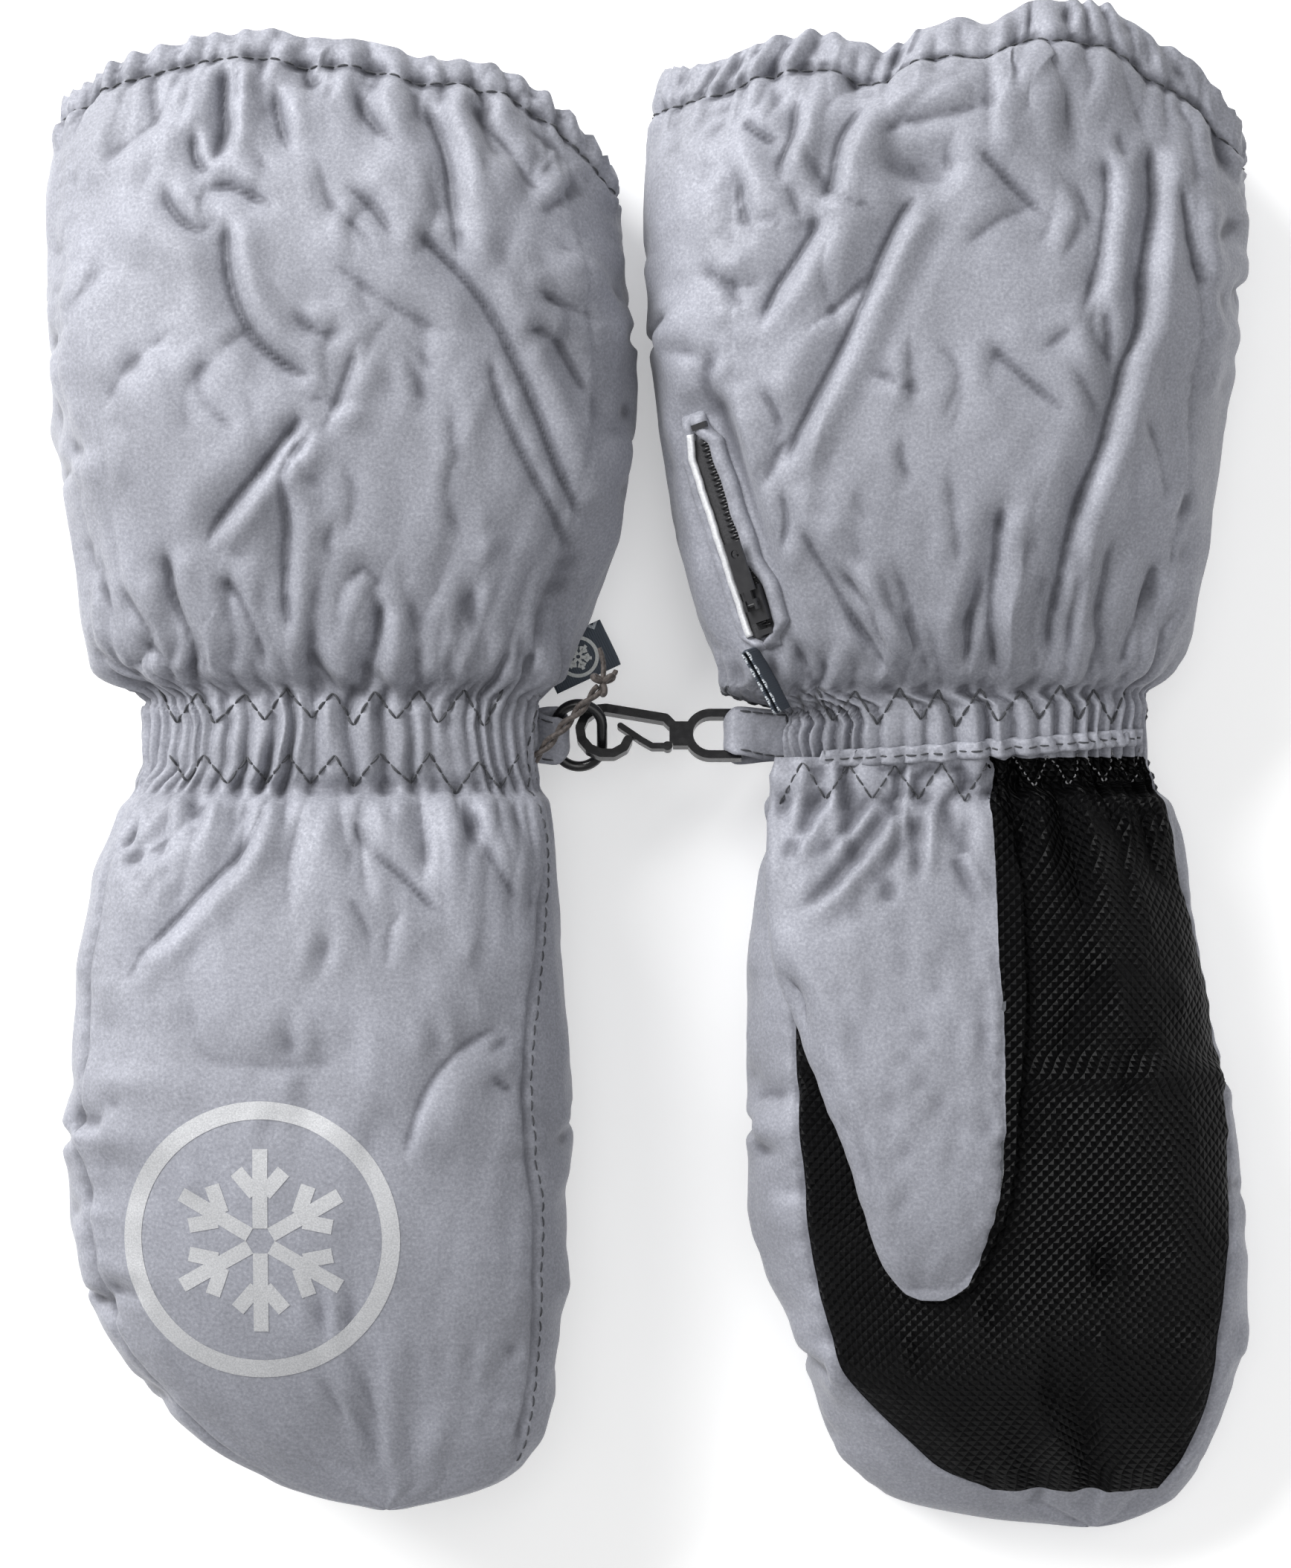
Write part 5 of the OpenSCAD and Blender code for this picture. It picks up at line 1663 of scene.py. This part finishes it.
def add_zip_welts(side):
    """Two fabric welts that close together at the ends."""
    bag = Bag()
    # edges in y, the edges they close to, height
    for low, high, low_end, high_end, height in (
        (-5.4, -1.9, -1.6, 2.4, 1.9),
        (4.5, 7.2, 1.6, 4.4, 1.3),
    ):
        rings = []
        for x in np.linspace(-4.5, 46, 80):
            early = 0.42 * smooth(7, 15, x) if low < 0 else 0.0
            shut = float(max(early, smooth(36, 43, x)) + smooth(0, -3.5, x))
            start, end = low + (low_end - low) * shut, high + (high_end - high) * shut
            ends = float(smooth(-4.9, -3, x) * (1 - smooth(44, 46.6, x)))
            tall = (height + (1.9 - height) * shut) * ends
            middle, half = (start + end) / 2 + 0.15 * sin(x * 0.55 + low), (end - start) / 2
            ripple = 0.08 * sin(x * 1.1 + low)
            rings.append([
                (x, middle + half * cos(t), -0.35 + (tall + 0.35) * max(0.0, sin(t)) ** 0.75 + ripple)
                for t in np.linspace(pi, 0, 9)
            ])
        bag.add(on_zip(np.array(rings).reshape(-1, 3)), capped_faces(80, 9))
    attach(bag.build(side + "_zip_welts", side, SHELL), side, "cuff")


# ---------------------------------------------------------------- linings
def inside(shell, grid, rows, gap=1.3):
    """A lining's points, kept between the shell's two faces."""
    for k, j in enumerate(rows):
        near_rows = shell.grid[max(0, j - 2) : j + 3].reshape(-1, 3)
        x = near_rows[:, 0]
        grid[k, :, 0] = np.clip(grid[k, :, 0], x.min() + 2, x.max() - 2)
        for point in grid[k]:
            z = near_rows[np.abs(x - point[0]) < 1.5, 2]
            if len(z) < 2:
                continue
            middle = (z.max() + z.min()) / 2
            high, low = z[z >= middle].min() - gap, z[z <= middle].max() + gap
            point[2] = min(max(point[2], low), high) if low < high else (low + high) / 2
    return grid


def add_linings(side, shell):
    """Turned-in hem, fleece tube in the cuff and fleece bag in the hand."""
    hem = nearest(shell.y, shell.top - HEM_DEPTH[side])
    offset = 0.25 + 0.7 * smooth(0, 1, np.linspace(0, 1, hem + 1) * 3)
    grid = shell.grid[: hem + 1] - shell.normal[: hem + 1] * offset[:, None, None]
    grid[0] = shell.grid[0]
    faces = grid_faces(hem + 1, shell.around, True, True)
    hang(piece(side + "_hem_facing", side, grid.reshape(-1, 3), faces, SHELL), side)

    noise = Noise(77)
    columns = np.arange(0, shell.around, 4)
    count = len(columns)

    def fleece(first, last, step, uneven, thicken):
        """Points and faces of fleece between two fine rows, thicken(rows) mm deeper."""
        rows = np.unique(np.concatenate([np.arange(first, last, step), [last]]))
        offset = 3.4 + uneven * noise(columns[None] * 0.2, rows[:, None] * 0.25)
        offset = np.maximum(offset + thicken(rows)[:, None], 1.7 - shell.low[rows][:, columns])
        normal = shell.base_normal[rows][:, columns]
        grid = shell.base[rows][:, columns] - normal * offset[..., None]
        return inside(shell, grid, rows), grid_faces(len(rows), count, True, True)

    start, end = hem - 3, nearest(shell.y, -12)
    grid, faces = fleece(start, end, 2, 0.35, lambda rows: -1.6 * smooth(start + 8, start, rows))
    made = piece(side + "_cuff_fleece", side, grid.reshape(-1, 3), faces, FLEECE)
    hang(made, side, "cuff_lining")
    tip = nearest(shell.y, shell.tip + 7)
    grid, faces = fleece(end, tip, 3, 0.3, lambda rows: 0.9 * smooth(end, end + 10, rows))
    last = (len(grid) - 1) * count
    cap = [(last + k, last + (k + 1) % count, last + count) for k in range(count)]
    points = np.concatenate([grid.reshape(-1, 3), grid[-1].mean(0)[None]])
    faces = [tuple(f) for f in faces] + cap
    made = piece(side + "_hand_fleece", side, points, faces, FLEECE)
    attach(made, side, "hand", "hand_lining")


# ---------------------------------------------------------------- prints and labels
def ring_star(surface, radius, band, arm):
    """A plain ring round a six-armed snow star, laid on surface(x, y)."""
    bag = Bag()

    def sheet(flat):
        points = [surface(x, y) for x, y in flat.reshape(-1, 2)]
        bag.add(points, grid_faces(*flat.shape[:2], False))

    angle = np.linspace(0, 2 * pi, 121)[:, None]
    across = np.linspace(radius - band, radius, 5)[None]
    sheet(np.stack([np.cos(angle) * across, np.sin(angle) * across], -1))
    half = arm * 0.5

    def bar(start, end):
        start, end = np.array(start), np.array(end)
        length = np.linalg.norm(end - start)
        direction = (end - start) / length
        aside = np.array([-direction[1], direction[0]])
        t = np.linspace(0, 1, max(4, int(length / (radius * 0.05))))[:, None, None]
        width = np.linspace(-half, half, 4)[None, :, None]
        sheet(start + (end - start) * t + aside * width)

    for k in range(6):
        turn = pi / 3 * k + pi / 6

        def turned(x, y):
            return x * cos(turn) - y * sin(turn), x * sin(turn) + y * cos(turn)

        bar(turned(radius * 0.09, 0), turned(radius * 0.66, 0))
        for way in (-1, 1):
            bar(turned(radius * 0.34, way * half * 0.6), turned(radius * 0.5, way * radius * 0.17))
    return bag


def face_towards(made, direction):
    """Turn a sheet over if most of its faces look away from a direction."""
    faces = made.data.polygons
    if sum(f.normal.dot(Vector(direction)) < 0 for f in faces) > len(faces) / 2:
        made.data.flip_normals()


def add_print(side, shell):
    """Reflective star on the back of the hand."""
    def lay(x, y):
        return shell.drop(-13.2 + x, -93.5 + y, -1, offset=0.1)[0]

    star = ring_star(lay, radius=28.0, band=3.6, arm=3.0)
    made = star.build(side + "_snow_star_print", side, PRINT)
    face_towards(made, (0, 0, 1 if side == "left" else -1))
    hang(made, side, "reflective_print")


def add_label(side, corner, along, across, normal, width, height, bend):
    """A folded tab with a star motif, in world mm from its corner."""
    corner, along, across, normal = (np.array(q, float) for q in (corner, along, across, normal))
    gap = 0.55  # half the distance between its two layers
    t = np.linspace(0, 1, 12)
    angle = np.linspace(0, pi, 9)[1:-1]
    u = np.concatenate([width * t, width + gap * np.sin(angle), width * t[::-1]])
    z = np.concatenate([np.full(12, gap), gap * np.cos(angle), np.full(12, -gap)])
    z = z + bend * (u / width) ** 2
    path = corner[None] + along[None] * u[:, None] + across[None] * height / 2
    path = path + normal[None] * z[:, None]
    sideways = np.broadcast_to(across, path.shape)
    name = side + "_label"
    tab = ribbon(
        name, LABEL, path, sideways, np.cross(tangents(path), sideways),
        half=height / 2, thick=0.5, columns=9, bulge=0.0, wave=0.08, seed=21,
    )
    centre = corner + along * width * 0.52 + across * height / 2

    def lay(x, y):
        lift = gap + 0.33 + bend * (0.52 + x / width) ** 2
        return centre + along * x + across * y + normal * lift

    star = ring_star(lay, radius=min(width, height) * 0.42, band=0.75, arm=0.7)
    motif = star.build(name + "_motif", None, THREAD_PALE)
    face_towards(motif, normal)
    attach(tab, side, "cuff", "woven_label")
    attach(motif, side, "cuff")


def add_left_label():
    """Lies flat, turned 25 degrees."""
    turn = radians(25)
    add_label(
        "left",
        corner=(WRIST_X["left"] + 45.5, WRIST_Y + 17, 12.0),
        along=(cos(turn), sin(turn), 0),
        across=(-sin(turn), cos(turn), 0),
        normal=(0, 0, 1),
        width=14, height=10.4, bend=0.6,
    )


def add_right_label():
    """Stands near upright, leaning 16 degrees."""
    turn, lean = radians(116.6), radians(16)
    add_label(
        "right",
        corner=(WRIST_X["right"] - 36.9, WRIST_Y + 13.6, 37.0),
        along=(cos(turn), sin(turn), 0),
        across=(-sin(turn) * sin(lean), cos(turn) * sin(lean), cos(lean)),
        normal=(-sin(turn) * cos(lean), cos(turn) * cos(lean), -sin(lean)),
        width=13.6, height=9.6, bend=0.5,
    )


def add_cord():
    """Waxed cord at the left strap: two twisted strands, a knot and two loose ends."""
    bag = Bag()
    start, end = np.array([-22.1293, 1.5, 29.2]), np.array([-8.3293, 16.4, 31.2])
    knot = np.array([-7.6293, 17.5, 31.2])
    t = np.linspace(0, 1, 60)
    axis = unit(end - start)
    aside = unit(np.cross(axis, [0, 0, 1.0]))
    third = np.cross(axis, aside)
    twist_radius, turns, arch = 0.62, 2.1, 0.8
    middle = start + (end - start) * t[:, None]
    middle[:, 2] += arch * np.sin(t * pi)
    for first in (0, pi):
        angle = (first + t * 2 * pi * turns)[:, None]
        path = middle + twist_radius * (aside * np.cos(angle) + third * np.sin(angle))
        bag.add(*tube(path, 0.58, 9))
    t = np.linspace(0, 2 * pi, 72, endpoint=False)
    x = 1.25 * (np.sin(t) + 0.9 * np.sin(2 * t))
    y = 1.35 * (np.cos(t) - 0.85 * np.cos(2 * t))
    bag.add(*tube(knot + np.stack([x, y, -0.8 * np.sin(3 * t)], 1), 0.62, 9, closed=True))
    t = np.linspace(0, 1, 14)
    for direction, length in (((-0.12, 1.0, -0.05), 6.6), ((0.75, 0.75, -0.25), 3.2)):
        wander = np.stack([0.5 * np.sin(t * 3), 0 * t, 0.25 * np.cos(t * 4)], 1)
        path = knot + unit(np.array(direction)) * (0.6 + length * t)[:, None] + wander
        bag.add(*tube(path, np.interp(t, [0, 0.85, 1], [0.58, 0.55, 0.42]), 9))
    cord = bag.build("waxed_cord", None, CORD)
    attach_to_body(cord, "left_cuff")
    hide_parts("hang_cord")


def finish_hard_part(name, material, bevel):
    """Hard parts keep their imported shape. bevel is in mm."""
    part = frame["nodes"][name]
    if not part.material_slots:
        part.data.materials.append(material)
    for slot in part.material_slots:
        slot.material = material
    if bevel:
        edge = part.modifiers.new("edge", "BEVEL")
        edge.width = bevel / 1000
        edge.segments = 3
        edge.limit_method = "ANGLE"
        edge.angle_limit = radians(38)


# ---------------------------------------------------------------- build
SHELLS = {}
for side, seed in (("right", 11), ("left", 29)):
    SHELLS[side] = Shell(side, seed)
    add_panels(side, SHELLS[side])
for side, shell in SHELLS.items():
    thumb = add_thumb(side, shell)
    add_stitching(side, shell, thumb)
    add_palm_stitching(side, shell)
    add_strap_band(side, shell, thumb)
    add_strap(side)
    add_zip_tape(side)
    add_zip_teeth(side)
    add_zip_piping(side)
    add_zip_welts(side)
    add_linings(side, shell)
    add_print(side, shell)
add_left_label()
add_right_label()
add_cord()
for name, bevel in (("snap_hook", 0.35), ("hook_gate", 0.3), ("clip_ring", 0.0)):
    finish_hard_part(name, PLASTIC, bevel)
for side in ("right", "left"):
    for name in ("slider", "pull", "stops"):
        finish_hard_part(f"{side}_zip_{name}", METAL, 0.15)


# ---------------------------------------------------------------- stage
def area_light(name, place, size, power):
    """A square light aimed at the origin."""
    data = bpy.data.lights.new(name, "AREA")
    data.energy, data.size = power, size
    light = bpy.data.objects.new(name, data)
    bpy.context.scene.collection.objects.link(light)
    light.location = place
    aim = Vector((0, 0, 0)) - Vector(place)
    light.rotation_euler = aim.to_track_quat("-Z", "Y").to_euler()
    return light


def floor_material():
    """Near-white, faintly glowing, and clear from below."""
    shader = Shader("floor")
    shader.finish(
        Base_Color=(0.93, 0.93, 0.93, 1),
        Roughness=0.9,
        Emission_Color=(1, 1, 1, 1),
        Emission_Strength=0.3,
    )
    below = shader.node("NewGeometry").outputs["Backfacing"]
    clear = shader.node("BsdfTransparent").outputs[0]
    mix = shader.numbered("MixShader", {0: below, 1: shader.surface.outputs[0], 2: clear})
    shader.feed(shader.output.inputs["Surface"], mix.outputs[0])
    return shader.material


FLOOR_CORNERS = [(-4, -4, 0), (4, -4, 0), (4, 4, 0), (-4, 4, 0)]
floor = mesh_object("floor", FLOOR_CORNERS, [(0, 1, 2, 3)], floor_material())
key = area_light("key", (-0.85, 0.75, 0.68), size=0.8, power=29)
fill = area_light("fill", (0.9, -0.5, 1.2), size=1.2, power=4)
top_light = area_light("top", (0.1, 0.1, 1.7), size=1.0, power=6)
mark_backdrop(floor, key, fill, top_light)
world = bpy.data.worlds.new("studio")
bpy.context.scene.world = world
world.use_nodes = True
background = world.node_tree.nodes["Background"]
background.inputs["Color"].default_value = (1, 1, 1, 1)
background.inputs["Strength"].default_value = 0.33
bpy.context.scene.view_settings.view_transform = "Standard"

# the camera looks straight down
CAMERA_DISTANCE = 0.95
VIEW_WIDTH = 0.3245  # metres seen at that distance
SENSOR = 36
camera = bpy.data.objects.new("camera", bpy.data.cameras.new("camera"))
bpy.context.scene.collection.objects.link(camera)
camera.data.sensor_width = SENSOR
camera.data.lens = SENSOR * CAMERA_DISTANCE / VIEW_WIDTH
camera.location = (0.0011, -0.0034, CAMERA_DISTANCE + 0.026)
camera.data.clip_end = 20
bpy.context.scene.camera = camera

# the first material's name of each new mesh other than the floor, read and not kept
for made in bpy.context.scene.objects:
    new = made.name not in frame["nodes"] and made.name != "floor"
    if made.type == "MESH" and made.material_slots and new:
        name = made.material_slots[0].material.name.split(".")[0]

boxes = {"cad": CAD_BOX, "visual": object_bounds()}
boxes = {name: [list(map(float, v)) for v in box] for name, box in boxes.items()}
